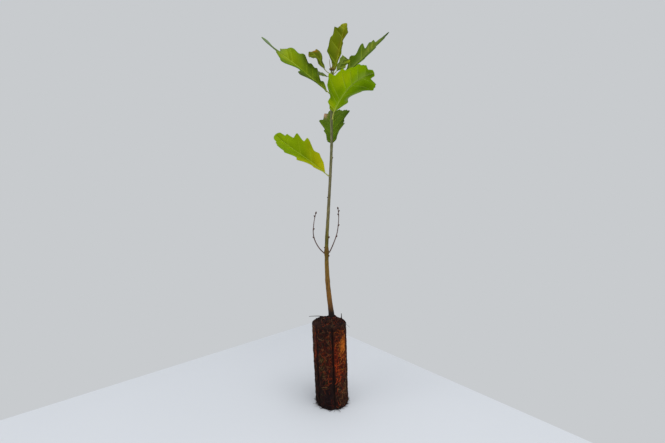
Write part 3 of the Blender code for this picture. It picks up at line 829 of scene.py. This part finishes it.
# Fine roots: heights, lengths, radii and reach from the stem in mm.
ROOT_SEED = 7
ROOT_STEP = 1.2 * MM
ROOT_MARGIN = 0.8 * MM  # kept clear at the top and foot of the side
ROOT_TAPER = 0.6  # share of its thickness that a root loses
SHORTEST_ROOT = 4  # points
WANDER = 30  # most that a crawling root bends in a step, in degrees
STEADY = 0.6  # share of its bend that it keeps at the next step
FINE_ROOT_SIDES = 4
SIDE_ROOT_HEIGHTS = (2, 118)
SIDE_ROOT_LENGTHS = (6, 20)
SIDE_ROOT_RADII = (0.14, 0.18, 0.22, 0.3)
SIDE_ROOT_SLOPES = (-90, -90, -90, 90, -60, -120, -20, -160)  # mostly straight down
TOP_ROOT_KINDS = {"dark": 15, "russet": 3, "tan": 1, "rust": 1}
TOP_ROOT_RADII = (0.14, 0.2, 0.3)
TOP_ROOT_REACH = (4, 21)
TOP_ROOT_STEPS = (5, 12)
FRINGE_HEIGHTS = (0.6, 5)
FRINGE_LENGTHS = (2, 5)
FRINGE_RADII = (0.15, 0.2, 0.35)
FRINGE_SUNK = 0.4 * MM
FRINGE_STEPS = 6
FLOOR_GAP = 0.2 * MM
LOOSE_STEPS = 14
LOOSE_TAPER = 0.5

# Roots and straws that stand off the ball: kind, start and length in mm, rises, turns, thickness in mm.
LOOSE_ROOTS = (
    ("straw", (-13, 16, 121.5), 22, (8, 0, -3), (180, 184), 0.62),
    ("dark", (13.6, 8, 119.5), 9.5, (86, 95), (20,), 0.9),
    ("dark", (11, -17, 119), 6, (60, 80), (-30,), 0.25),
    ("tan", (13, -18, 119.5), 7, (50, 20), (10,), 0.2),
    ("dark", (8.5, -20.5, 2.5), 10, (-14, -2, 0), (-82, -60), 0.35),
    ("dark", (4, -22.5, 2), 6, (-25, 0), (-95, -120), 0.25),
    ("dark", (-4, -22.5, 2), 5, (-25, 0), (-100, -60), 0.25),
    ("tan", (-19, -12, 3), 9, (-16, 2, 4), (200, 150), 0.22),
    ("tan", (-18, -14, 2), 8, (-12, 4, 0), (230, 160), 0.18),
    ("dark", (-20, -10, 4), 7, (-30, 0), (215, 190), 0.2),
    ("tan", (21, -9, 2.5), 6, (-16, 2), (-20, 30), 0.2),
    ("dark", (18, -14, 2.5), 6, (-16, 2), (-50, -20), 0.22),
)


def groove(angle):
    """How deep a rib of the cell has pressed into the ball at this turn."""
    from_groove = (angle - FIRST_RIB) % (360 / RIB_COUNT)
    from_groove = min(from_groove, 360 / RIB_COUNT - from_groove)
    return RIB_DEPTH * math.exp(-((from_groove / RIB_WIDTH) ** 2))


def ball_side(angle, height, lift=0.0):
    """A point on the ball's side."""
    share = height / BALL_HEIGHT
    radius = BALL_FOOT_RADIUS + (BALL_TOP_RADIUS - BALL_FOOT_RADIUS) * share - groove(angle) + lift
    return Vector((BALL_LEAN * share, 0, height)) + heading(0, angle) * radius


def nearness(patch, angle, height):
    """How much of a patch there is at a place on the ball's side, 1 at its middle and 0 far from it."""
    off = (angle - patch.turn + 180) % 360 - 180
    return math.exp(-((off / patch.wide) ** 2) - ((height / MM - patch.height) / patch.tall) ** 2)


def peat_tint(angle, height):
    """The patch colour at a place on the ball's side, with its strength, and the painted shade down in the
    grooves.
    """
    colour, strength = (0, 0, 0), 0.0
    for patch in PATCHES:
        near = patch.strength * nearness(patch, angle, height)
        if near > FAINT:
            colour = mixed(colour, linear(patch.colour)[:3], near / (near + strength))
            strength = max(strength, near)
    # Painted shade: the deeper the groove, the more the peat is darkened towards its shade colour.
    depth = min((groove(angle) / RIB_DEPTH * 1.2) ** 3, 1)
    return (*mixed(colour, linear(GROOVE_SHADE)[:3], depth), max(strength, depth))


def top_roughness(place):
    """How far the ball's top stands out at a place."""
    return noise.fractal(place / TOP_CLOD, *CLOD_NOISE) * TOP_ROUGH


def ball_surface(angle, height, lift=0.0):
    """A point on the ball's rough side, lifted off it."""
    settings = bpy.context.scene.sapling_ball
    place, out = ball_side(angle, height), heading(0, angle)
    clod = noise.fractal(place / SIDE_CLOD, *CLOD_NOISE) * settings.clods
    fibre = noise.turbulence(place / SIDE_FIBRE, 3, False) * settings.fibres
    return place + out * (BALL_SPREAD + clod + fibre + lift)


def on_top(place, lift=0.0):
    """The point of the ball's rough top above a place, with the mound that rises to the stem."""
    centre = stem_centre(STEM_FOOT)
    out = (Vector((place.x, place.y, 0)) - Vector((centre.x, centre.y, 0))).length
    rise = min(max((MOUND_FOOT - out) / (MOUND_FOOT - MOUND_TOP), 0), 1)
    edge = (Vector((place.x - BALL_LEAN, place.y, 0))).length - (BALL_TOP_RADIUS - BALL_EDGE)
    height = BALL_HEIGHT + MOUND_HEIGHT * math.sin(math.pi / 2 * rise) - max(edge, 0)
    found = Vector((place.x, place.y, height))
    found.z += top_roughness(found) + lift
    return found


class SAPLING_OT_root_ball(bpy.types.Operator):
    """Makes the peat of the root ball, grooved by its cell, with the mound at the stem's foot"""

    bl_idname = "sapling.root_ball"
    bl_label = "Root ball"

    def execute(self, context):
        stem = stem_centre(STEM_FOOT)
        angles = [360 * i / BALL_SIDES for i in range(BALL_SIDES)]
        rim_radius = BALL_TOP_RADIUS - BALL_EDGE

        def side_ring(height, inset=0.0):
            return [ball_surface(angle, height, -inset) for angle in angles]

        def top_ring(share, radius, height):
            """A ring of the top, share of the way from the ball's rim to this radius about the stem."""
            points = []
            for angle in angles:
                rim = Vector((BALL_LEAN, 0, 0)) + heading(0, angle) * rim_radius
                mound = Vector((stem.x, stem.y, 0)) + heading(0, angle) * radius
                place = rim.lerp(mound, share)
                place.z = height
                points.append(place + Vector((0, 0, top_roughness(place))))
            return points

        side_height = BALL_HEIGHT - 2 * BALL_EDGE
        rings = [side_ring(0, FOOT_EDGE)]
        rings += [side_ring(BALL_EDGE + side_height * i / SIDE_RINGS) for i in range(SIDE_RINGS + 1)]
        rings += [top_ring(i / TOP_RINGS, MOUND_FOOT, BALL_HEIGHT) for i in range(TOP_RINGS + 1)]
        for i in range(1, MOUND_RINGS + 1):
            radius = MOUND_FOOT + (MOUND_TOP - MOUND_FOOT) * i / MOUND_RINGS
            height = BALL_HEIGHT + MOUND_HEIGHT * math.sin(math.pi / 2 * i / MOUND_RINGS)
            rings.append(top_ring(1, radius, height))
        for i in range(1, CLOSING_RINGS + 1):
            rings.append(top_ring(1, MOUND_TOP * (1 - i / (CLOSING_RINGS + 0.5)), BALL_HEIGHT + MOUND_HEIGHT))

        made = bmesh.new()
        first = bmesh.ops.create_circle(made, cap_ends=False, segments=BALL_SIDES, radius=1)["verts"]
        for vertex, place in zip(first, rings[0]):
            vertex.co = (place.x, place.y, max(place.z, 0))
        edges = made.edges[:]
        for places in rings[1:]:
            grown = bmesh.ops.extrude_edge_only(made, edges=edges)["geom"]
            edges = [part for part in grown if isinstance(part, bmesh.types.BMEdge)]
            vertices = [part for part in grown if isinstance(part, bmesh.types.BMVert)]
            for vertex, place in zip(vertices, places):
                vertex.co = place
        bmesh.ops.holes_fill(made, edges=made.edges, sides=0)
        bmesh.ops.recalc_face_normals(made, faces=made.faces)
        # The tint holds the patches' colours and the painted shade down in the grooves.
        layer = made.verts.layers.float_color.new("tint")
        for vertex in made.verts:
            angle = math.degrees(math.atan2(vertex.co.y, vertex.co.x - BALL_LEAN * vertex.co.z / BALL_HEIGHT))
            vertex[layer] = peat_tint(angle, vertex.co.z)
        add_piece("root_ball_peat", finished("root_ball_peat", made), [peat_material()], "peat", "root_ball")
        return {"FINISHED"}


def tapered(radius, count, loss, steps):
    """The radii of count points of a root that loses this share of its thickness in steps."""
    return [radius * (1 - loss * i / steps) for i in range(count)]


def crawl(rng, angle, height, length, slope, radius):
    """Points of a root that crawls over the ball's side from a place, until it meets a groove or an edge."""
    points = []
    bend = 0.0
    for _ in range(int(length / ROOT_STEP)):
        bend = bend * STEADY + rng.uniform(-WANDER, WANDER)
        slope += bend * STEADY
        angle += math.degrees(ROOT_STEP * math.cos(math.radians(slope)) / BALL_TOP_RADIUS)
        height += ROOT_STEP * math.sin(math.radians(slope))
        if not ROOT_MARGIN < height < BALL_HEIGHT - ROOT_MARGIN or groove(angle) > RIB_DEPTH * ROOTS_STOP:
            break
        points.append(ball_surface(angle, height, radius * rng.uniform(-0.5, 1.6)))
    return points


def side_roots(rng, count):
    """Fine roots that crawl over the ball's side: the kind, path and radii of each."""
    for _ in range(count):
        angle = rng.uniform(-180, 180)
        height = rng.uniform(*SIDE_ROOT_HEIGHTS) * MM
        if groove(angle) > RIB_DEPTH * ROOTS_STOP:
            continue
        patch = rng.choices(PATCHES, [nearness(patch, angle, height) + 1e-6 for patch in PATCHES])[0]
        kind = rng.choices(list(patch.kinds), list(patch.kinds.values()))[0]
        slope = rng.choice(SIDE_ROOT_SLOPES) + rng.uniform(-25, 25)
        radius = rng.choice(SIDE_ROOT_RADII) * MM
        path = crawl(rng, angle, height, rng.uniform(*SIDE_ROOT_LENGTHS) * MM, slope, radius)
        if len(path) >= SHORTEST_ROOT:
            yield kind, path, tapered(radius, len(path), ROOT_TAPER, len(path) - 1)


def top_roots(rng, count):
    """Fine roots that wander over the ball's top, about the stem."""
    for _ in range(count):
        kind = rng.choices(list(TOP_ROOT_KINDS), list(TOP_ROOT_KINDS.values()))[0]
        radius = rng.choice(TOP_ROOT_RADII) * MM
        place = stem_centre(STEM_FOOT) + heading(0, rng.uniform(0, 360)) * rng.uniform(*TOP_ROOT_REACH) * MM
        turn = rng.uniform(0, 360)
        path = []
        for _ in range(rng.randint(*TOP_ROOT_STEPS)):
            path.append(on_top(place, radius * rng.uniform(0, 1.5)))
            turn += rng.uniform(-50, 50)
            place = place + heading(0, turn) * ROOT_STEP
        yield kind, path, tapered(radius, len(path), ROOT_TAPER, len(path))


def fringe_roots(rng, count):
    """Short dark roots that hang out round the ball's foot and lie down on what it stands on."""
    for _ in range(count):
        angle = rng.uniform(-180, 180)
        start = ball_surface(angle, rng.uniform(*FRINGE_HEIGHTS) * MM, -FRINGE_SUNK)
        turn = angle + rng.uniform(-70, 70)
        length = rng.uniform(*FRINGE_LENGTHS) * MM
        path = route(start, length, (rng.uniform(-60, 0), rng.uniform(-20, 10)), (angle, turn), FRINGE_STEPS)
        path = [Vector((place.x, place.y, max(place.z, FLOOR_GAP))) for place in path]
        radius = rng.choice(FRINGE_RADII) * MM
        yield "dark", path, tapered(radius, FRINGE_STEPS + 1, ROOT_TAPER, FRINGE_STEPS)


def loose_roots():
    """The few roots and straws that stand off the ball."""
    for kind, start, length, rise, turn, thick in LOOSE_ROOTS:
        path = route(Vector(start) * MM, length * MM, rise, turn, LOOSE_STEPS)
        yield kind, path, tapered(thick * MM, LOOSE_STEPS + 1, LOOSE_TAPER, LOOSE_STEPS)


class SAPLING_OT_fine_roots(bpy.types.Operator):
    """Makes the fine roots that mat the ball together, and the few that stand off it"""

    bl_idname = "sapling.fine_roots"
    bl_label = "Fine roots"

    def execute(self, context):
        settings = context.scene.sapling_ball
        rng = random.Random(ROOT_SEED)
        limbs = {kind: [] for kind in ROOT_KINDS}
        for grown in (
            side_roots(rng, settings.roots),
            top_roots(rng, settings.top_roots),
            fringe_roots(rng, settings.fringe),
            loose_roots(),
        ):
            for kind, path, radii in grown:
                limbs[kind].append((path, radii))
        for kind, (dark, light, roughness) in ROOT_KINDS.items():
            name = f"fine_roots_{kind}"
            mesh = limb_mesh(name, limbs[kind], FINE_ROOT_SIDES)
            add_piece(name, mesh, [root_material(kind, dark, light, roughness)], "peat")
        return {"FINISHED"}


# ---------------------------------------------------------------- stem

# Tone of the bark up the stem, as a share of its height.
STEM_TONES = (
    (0.0, "120b09"), (0.02, "1a110c"), (0.036, "4e3216"), (0.08, "6e4a1c"), (0.15, "6a4d1f"),
    (0.235, "66501c"), (0.25, "5e4914"), (0.285, "523c12"), (0.3, "57501a"), (0.35, "5d5626"),
    (0.42, "686040"), (0.55, "645e42"), (0.66, "62603f"), (0.78, "5f6140"), (1.0, "50582a"),
)
# Side buds and scars of the stem: height and half width in mm, and turn.
STEM_BUDS = (
    (469, 1.3, -20), (243, 1.1, -20), (216, 0.9, -10), (228, 0.8, 190), (300, 0.7, 200), (356, 0.8, 20),
    (268, 0.6, 120),
)
STEM_BUD_OUT = 0.2  # how far its middle stands off the bark, as a share of its half width
STEM_BUD_RISE = 1.6  # how far up it points for each step out
STEM_BUD_LENGTH = 1.7  # as a share of its width


class SAPLING_OT_stem(bpy.types.Operator):
    """Makes the stem with its bark's wrinkles, its lenticels and side buds"""

    bl_idname = "sapling.stem"
    bl_label = "Stem"

    def execute(self, context):
        settings = context.scene.sapling_stem
        length = STEM_TIP - STEM_FOOT + STEM_SUNK
        heights = [STEM_FOOT - STEM_SUNK + length * i / STEM_RINGS for i in range(STEM_RINGS + 1)]
        path = [stem_centre(height) for height in heights]
        mesh = limb_mesh("stem", [(path, [stem_radius(height) for height in heights])], STEM_SIDES)
        for vertex in mesh.vertices:
            centre = stem_centre(vertex.co.z)
            out = (vertex.co - centre).normalized()
            drawn = Vector((vertex.co.x, vertex.co.y, vertex.co.z * GRAIN_SQUASH)) / WRINKLE
            wrinkle = noise.fractal(drawn, 0.7, 2.0, 3) * settings.relief
            lump = noise.noise(vertex.co / LUMP) * settings.relief
            vertex.co += out * (wrinkle + lump)
        add_piece("stem_bark", mesh, [bark_material("young oak bark", STEM_TONES, 0.6)], "bark", "stem")

        rng = random.Random(PORE_SEED)
        pores = bmesh.new()
        for _ in range(settings.lenticels):
            height = STEM_FOOT + (STEM_TIP - STEM_FOOT) * rng.uniform(0.03, 0.9) ** 1.3
            turn = rng.uniform(0, 360)
            grown = bmesh.ops.create_icosphere(pores, subdivisions=1, radius=1)["verts"]
            place = stem_centre(height) + heading(0, turn) * (stem_radius(height) - PORE_SUNK)
            turned = heading(0, turn).to_track_quat("X", "Z").to_matrix()
            tall, wide = rng.uniform(*PORE_TALL) * MM, rng.uniform(*PORE_WIDE) * MM
            for vertex in grown:
                shaped = Vector((vertex.co.x * PORE_LIFT, vertex.co.y * wide, vertex.co.z * tall))
                vertex.co = place + turned @ shaped
        add_piece("stem_lenticels", finished("stem_lenticels", pores), [lenticel_material()], "bark")

        buds = bmesh.new()
        edge = context.scene.sapling_twigs.scale_edge
        for height, wide, turn in STEM_BUDS:
            out = heading(0, turn)
            centre = stem_centre(height * MM) + out * (stem_radius(height * MM) + wide * STEM_BUD_OUT * MM)
            upward = (out + Vector((0, 0, STEM_BUD_RISE))).normalized()
            grow_bud(buds, centre, upward, wide * MM, wide * STEM_BUD_LENGTH * MM, edge)
        scale = bud_material("oak bud scale", DRY_BUD)
        add_piece("stem_side_buds", finished("stem_side_buds", buds), [scale], "bark")
        return {"FINISHED"}


# ---------------------------------------------------------------- twigs and buds


def grow_bud(made, centre, direction, half_width, half_length, edge):
    """Adds an egg of overlapping scales, with its point along direction."""
    around, along = BUD_GRID
    grown = bmesh.ops.create_uvsphere(made, u_segments=around, v_segments=along, radius=1)["verts"]
    turned = direction.to_track_quat("Z", "Y").to_matrix()
    for vertex in grown:
        up = vertex.co.z
        turn = math.atan2(vertex.co.y, vertex.co.x) / (2 * math.pi)
        climb = (up + 1) / 2 * SCALE_ROWS
        point = abs(math.sin(math.pi * (turn * SCALES_ROUND + 0.5 * math.floor(climb))))
        row = math.floor(climb + SCALE_POINT * point)
        step = 1 + edge * (1 - (climb - row)) if row < SCALE_ROWS else 1
        narrow = half_width * (1 - BUD_NARROWING * max(up, 0) ** 1.4) * min(step, 1 + edge)
        shaped = Vector((vertex.co.x * narrow, vertex.co.y * narrow, up * half_length))
        vertex.co = centre + turned @ shaped


class SAPLING_OT_twigs(bpy.types.Operator):
    """Makes the two bare side twigs with their buds"""

    bl_idname = "sapling.twigs"
    bl_label = "Bare twigs"

    def execute(self, context):
        settings = context.scene.sapling_twigs
        noise.seed_set(TWIG_SEED)
        bark = bark_material("bare twig bark", TWIG_TONES, 0.65)
        scale = bud_material("oak bud scale", DRY_BUD)
        width, length = BUD_SIZE
        for name, twig in TWIGS.items():
            start = off_stem(twig["height"] * MM, twig["rise"][0], twig["turn"][0], TWIG_BASE / 2)
            path = route(start, twig["length"] * MM, twig["rise"], twig["turn"], TWIG_STEPS)
            inside = path[0] - (path[1] - path[0]).normalized() * TWIG_SUNK
            radii = [TWIG_BASE * TWIG_FOOT]
            for i in range(TWIG_STEPS + 1):
                to_bud = min(abs(i - round(place * TWIG_STEPS)) for place, _ in twig["buds"])
                thick = TWIG_BASE + (TWIG_TIP - TWIG_BASE) * i / TWIG_STEPS
                radii.append(thick / 2 * (1 + TWIG_KNOT * math.exp(-(to_bud**2) / 2)))
            mesh = limb_mesh(name, [([inside, *path], radii)], TWIG_SIDES)
            for vertex in mesh.vertices:
                vertex.co += noise.noise_vector(vertex.co / TWIG_WRINKLE) * settings.relief
            add_piece(f"{name}_bark", mesh, [bark], "twig", name)

            buds = bmesh.new()
            end = (path[-1] - path[-2]).normalized()
            grow_bud(buds, path[-1] + end * length * BUD_OUT, end, width, length, settings.scale_edge)
            for place, turn in twig["buds"]:
                i = round(place * TWIG_STEPS)
                along = (path[i] - path[i - 1]).normalized()
                out = (heading(0, turn) + along).normalized()
                size = (width * SIDE_BUD, length * SIDE_BUD)
                grow_bud(buds, path[i] + out * length * BUD_OUT, out, *size, settings.scale_edge)
            add_piece(f"{name}_buds", finished(f"{name}_buds", buds), [scale], "twig")
        return {"FINISHED"}


class SAPLING_OT_tip(bpy.types.Operator):
    """Makes the cluster of buds at the shoot's end, with the stipule beside it"""

    bl_idname = "sapling.tip"
    bl_label = "Shoot tip"

    def execute(self, context):
        edge = context.scene.sapling_twigs.scale_edge
        top = stem_centre(STEM_TIP) + Vector((0, 0, SEAT_GAP))
        buds = bmesh.new()
        for turn, rise, out, half_width, half_length in TIP_BUDS:
            lift = half_length if rise == 90 else half_length * 0.9
            centre = top + heading(0, turn) * out * MM + Vector((0, 0, lift * MM))
            grow_bud(buds, centre, heading(rise, turn), half_width * MM, half_length * MM, edge)
        steps = STIPULE["steps"]
        start = top + Vector(STIPULE_START)
        path = route(start, STIPULE["length"] * MM, STIPULE["rise"], STIPULE["turn"], steps)
        base, end = STIPULE["thick"]
        radii = [(base + (end - base) * i / steps) * MM / 2 for i in range(steps + 1)]
        buds.from_mesh(limb_mesh("stipule", [(path, radii)], STIPULE["sides"]))
        scale = bud_material("growing bud scale", GREEN_BUD)
        add_piece("shoot_tip_buds", finished("shoot_tip_buds", buds), [scale], "twig", "tip_buds")
        return {"FINISHED"}


# ---------------------------------------------------------------- leaves


def veins_of(half):
    """Places along the midrib where a half's side veins leave it, one to each lobe."""
    return [place for place, reach in half[0] if VEIN_SPAN[0] < place < VEIN_SPAN[1]]


def vein_nearness(leaf, t, across):
    """Nearness to a side vein and to the midrib, 1 on it and 0 beside it, and the swelling between veins."""
    half = leaf.left if across < 0 else leaf.right
    places = veins_of(half)
    length = leaf.length * MM
    off = min(abs(t - place) for place in places) * length * math.sin(math.radians(leaf.sweep))
    width = SIDE_VEIN_WIDTH * (1.2 - 0.8 * abs(across))
    near = math.exp(-((off / width) ** 2)) * (1 - abs(across) ** 4)
    out = abs(across) * max(reach_of(half, t), BLADE_END)
    middle = math.exp(-((out / (MIDRIB_WIDTH * length * (1.15 - t))) ** 2))
    stops = [0.0, *places, 1.0]
    swell = 0.0
    for low, high in zip(stops, stops[1:]):
        if low <= t <= high:
            swell = math.sin(math.pi * (t - low) / (high - low)) ** 0.8
    swell *= math.sin(math.pi * min(abs(across), 1) ** 0.8) ** 0.7 if 0 < abs(across) < 1 else 0
    return near, middle, swell


def leaf_tint(leaf, base, t, across):
    """The skin's colour at a place on the blade, with the painted shade and painted sheen that some tints add.
    """
    colour = linear(base)[:3]
    for place, side, long, wide, tone, most in leaf.tints:
        near = most * math.exp(-(((t - place) / long) ** 2) - ((across - side) / wide) ** 2)
        colour = mixed(colour, linear(tone)[:3], near)
    return (*colour, 1.0)


def grow_blade(leaf, midrib, settings):
    """The blade as a bmesh: upper skin faces are material 0, the underside's are 1."""
    young = leaf.length < YOUNG
    rows, columns = YOUNG_GRID if young else (settings.rows, settings.columns)
    places = {i / rows for i in range(rows + 1)}
    for place in {*veins_of(leaf.left), *veins_of(leaf.right)}:
        places |= {place + shift * VEIN_ROW / leaf.length for shift in (-1, 0, 1)}
    rows_at = sorted(place for place in places if 0 <= place <= 1)
    made = bmesh.new()
    vein_layer = made.verts.layers.float.new("vein")
    tint_layer = made.verts.layers.float_color.new("tint")
    place_layer = made.verts.layers.float_vector.new("place")
    upper = bmesh.ops.create_grid(made, x_segments=len(rows_at) - 1, y_segments=columns, size=1)["verts"]
    for vertex in upper:
        t = rows_at[round((vertex.co.x + 1) / 2 * (len(rows_at) - 1))]
        across = math.copysign(abs(vertex.co.y) ** 1.15, vertex.co.y)
        near, middle, swell = vein_nearness(leaf, t, across)
        lift = settings.quilt * swell * (0.5 if young else 1) - settings.groove * max(near, middle)
        vertex.co = blade_point(leaf, midrib, t, across, lift)
        vertex[vein_layer] = max(SIDE_VEIN * near, leaf.pale * middle)
        vertex[tint_layer] = leaf_tint(leaf, leaf.upper, t, across)
        vertex[place_layer] = (t, across, 0)
    gone = []
    for place, across, radius in leaf.holes:
        centre = blade_point(leaf, midrib, place, across)
        gone += [face for face in made.faces if (face.calc_center_median() - centre).length < radius * MM]
    bmesh.ops.delete(made, geom=gone, context="FACES")
    bmesh.ops.recalc_face_normals(made, faces=made.faces)
    middle = min(made.faces, key=lambda face: (face.calc_center_median() - midrib(0.5)).length)
    if middle.normal.dot(leaf_frame(leaf, 0.5)[2]) < 0:
        bmesh.ops.reverse_faces(made, faces=made.faces)
    count = len(made.verts)
    bmesh.ops.solidify(made, geom=made.faces[:], thickness=settings.thickness)
    made.verts.ensure_lookup_table()
    old = set(made.verts[:count])
    for face in made.faces:
        face.material_index = 0 if all(vertex in old for vertex in face.verts) else 1
    for vertex in made.verts[count:]:
        t, across, _ = vertex[place_layer]
        vertex[tint_layer] = leaf_tint(leaf, leaf.under, t, across)
    made.verts.layers.float_vector.remove(place_layer)
    return made


def rib_limbs(leaf, stalk, midrib, settings):
    """The stalk that runs on as the midrib, and the side veins' ribs under the blade, as (path, radii)."""
    thick = stalk_radius(leaf)
    path = [stalk[0] - (stalk[1] - stalk[0]).normalized() * STALK_SUNK, *stalk]
    radii = [thick * STALK_FOOT, thick * STALK_FOOT]
    radii += [thick * (0.95 - 0.1 * i / len(stalk)) for i in range(len(stalk) - 1)]
    for i in range(1, MIDRIB_RINGS + 1):
        t = MIDRIB_END * i / MIDRIB_RINGS
        radius = thick * (0.5 * (1 - t) + 0.35 * math.exp(-t / 0.08)) + 0.1 * MM
        path.append(midrib(t) - leaf_frame(leaf, t)[2] * radius * MIDRIB_LOW * min(1, 4 * t))
        radii.append(radius)
    limbs = [(path, radii)]
    for side, half in ((-1, leaf.left), (1, leaf.right)):
        for place in veins_of(half):
            points, thin = [], []
            for i in range(SIDE_RIB_STEPS + 1):
                across = side * (0.02 + 0.92 * i / SIDE_RIB_STEPS)
                radius = (0.26 - 0.18 * i / SIDE_RIB_STEPS) * MM * (0.6 if leaf.length < YOUNG else 1)
                near, middle, _ = vein_nearness(leaf, place, across)
                lift = -settings.groove * max(near, middle) - settings.thickness - radius * 0.3
                points.append(blade_point(leaf, midrib, place, across, lift))
                thin.append(radius)
            limbs.append((points, thin))
    return limbs


def add_ribs(made, name, leaf, settings, stalk, midrib):
    """Joins the stalk and ribs to the blade's bmesh as material 2, in their own tones."""
    faces, vertices = len(made.faces), len(made.verts)
    made.from_mesh(limb_mesh(f"{name}_ribs", rib_limbs(leaf, stalk, midrib, settings), RIB_SIDES))
    made.faces.ensure_lookup_table()
    made.verts.ensure_lookup_table()
    for face in made.faces[faces:]:
        face.material_index = 2
    under = linear(leaf.under)[:3]
    rib_tone = mixed(under, linear(RIB_COLOUR)[:3], 0.25 + 0.35 * leaf.pale)
    stalk_tone = mixed(under, linear(STALK_COLOUR)[:3], 0.3 + 0.35 * leaf.pale)
    tint_layer = made.verts.layers.float_color["tint"]
    for vertex in made.verts[vertices:]:
        past = (vertex.co - stalk[-1]).length / STALK_FADE if vertex.co.z > stalk[-1].z else 0
        vertex[tint_layer] = (*mixed(stalk_tone, rib_tone, min(past, 1)), 1.0)


class SAPLING_OT_leaves(bpy.types.Operator):
    """Makes the leaves: thin lobed blades, swollen between their veins, with ribs and stalks"""

    bl_idname = "sapling.leaves"
    bl_label = "Leaves"

    def execute(self, context):
        settings = context.scene.sapling_leaves
        skins = [
            leaf_material("oak leaf, upper skin", 0.45, 0.03, "b2c42c", 0.85),
            leaf_material("oak leaf, underside", 0.7, 0.02, "94a050", 0.5),
            rib_material(),
        ]
        for name, leaf in LEAVES.items():
            stalk, midrib = leaf_lines(leaf)
            made = grow_blade(leaf, midrib, settings)
            add_ribs(made, name, leaf, settings, stalk, midrib)
            slot = "young_leaf" if leaf.height > OLD_HEIGHT else "leaf"
            add_piece(f"oak_{name}", finished(f"oak_{name}", made), skins, slot, name)
        return {"FINISHED"}


# ---------------------------------------------------------------- stage


class SAPLING_OT_stage(bpy.types.Operator):
    """Makes the floor, the soft light and the camera"""

    bl_idname = "sapling.stage"
    bl_label = "Stage"

    def execute(self, context):
        settings = context.scene.sapling_stage
        scene = context.scene
        made = bmesh.new()
        along, beside = heading(0, FLOOR_TURN), heading(0, FLOOR_TURN + 90)
        for vertex in bmesh.ops.create_grid(made, x_segments=1, y_segments=1, size=FLOOR_SIDE / 2)["verts"]:
            x, y = vertex.co.x + FLOOR_SIDE / 2, vertex.co.y + FLOOR_SIDE / 2
            vertex.co = Vector(FLOOR_CORNER) + along * x + beside * y
        bmesh.ops.recalc_face_normals(made, faces=made.faces)
        if made.faces[:][0].normal.z < 0:
            bmesh.ops.reverse_faces(made, faces=made.faces)
        mesh = finished("floor", made)
        mesh.materials.append(floor_material())
        floor = bpy.data.objects.new("floor", mesh)
        scene.collection.objects.link(floor)

        world = bpy.data.worlds.new("soft surroundings")
        world.use_nodes = True
        sky = world.node_tree.nodes["Background"]
        sky.inputs["Color"].default_value = settings.air_colour
        sky.inputs["Strength"].default_value = settings.air
        scene.world = world
        scene.view_settings.view_transform = "Standard"

        for name, place, size, share in SOFTBOXES:
            light = bpy.data.lights.new(name, "AREA")
            light.shape = "SQUARE"
            light.size = size
            light.energy = settings.key * share
            lamp = bpy.data.objects.new(name, light)
            lamp.location = place
            lamp.rotation_euler = (Vector(LIGHTS_AIM) - Vector(place)).to_track_quat("-Z", "Y").to_euler()
            scene.collection.objects.link(lamp)

        lens = bpy.data.cameras.new("camera")
        lens.sensor_width = SENSOR_WIDTH
        lens.lens = settings.lens
        camera = bpy.data.objects.new("camera", lens)
        camera.location = CAMERA_PLACE
        camera.rotation_euler = (math.radians(90 - CAMERA_DOWN), 0, 0)
        scene.collection.objects.link(camera)
        scene.camera = camera
        return {"FINISHED"}


# ---------------------------------------------------------------- panel and registration


GROUPS = {
    "sapling_ball": SaplingBall,
    "sapling_stem": SaplingStem,
    "sapling_twigs": SaplingTwigs,
    "sapling_leaves": SaplingLeaves,
    "sapling_stage": SaplingStage,
}
OPERATORS = (
    SAPLING_OT_root_ball,
    SAPLING_OT_fine_roots,
    SAPLING_OT_stem,
    SAPLING_OT_twigs,
    SAPLING_OT_tip,
    SAPLING_OT_leaves,
    SAPLING_OT_stage,
)


class SAPLING_PT_panel(bpy.types.Panel):
    """Lists the pieces of the sapling and their settings"""

    bl_idname = "SAPLING_PT_panel"
    bl_label = "Oak sapling"
    bl_space_type = "VIEW_3D"
    bl_region_type = "UI"
    bl_category = "Oak sapling"

    def draw(self, context):
        for operator in OPERATORS:
            self.layout.operator(operator.bl_idname)
        for name, group in GROUPS.items():
            box = self.layout.box()
            for prop in group.__annotations__:
                box.prop(getattr(context.scene, name), prop)


def register():
    for group in (*GROUPS.values(), *OPERATORS, SAPLING_PT_panel):
        bpy.utils.register_class(group)
    for name, group in GROUPS.items():
        setattr(bpy.types.Scene, name, bpy.props.PointerProperty(type=group))


def unregister():
    for name in GROUPS:
        delattr(bpy.types.Scene, name)
    for group in reversed((*GROUPS.values(), *OPERATORS, SAPLING_PT_panel)):
        bpy.utils.unregister_class(group)


def main():
    register()
    for operator in OPERATORS:
        kind, name = operator.bl_idname.split(".")
        getattr(getattr(bpy.ops, kind), name)()


if __name__ == "__main__":
    main()
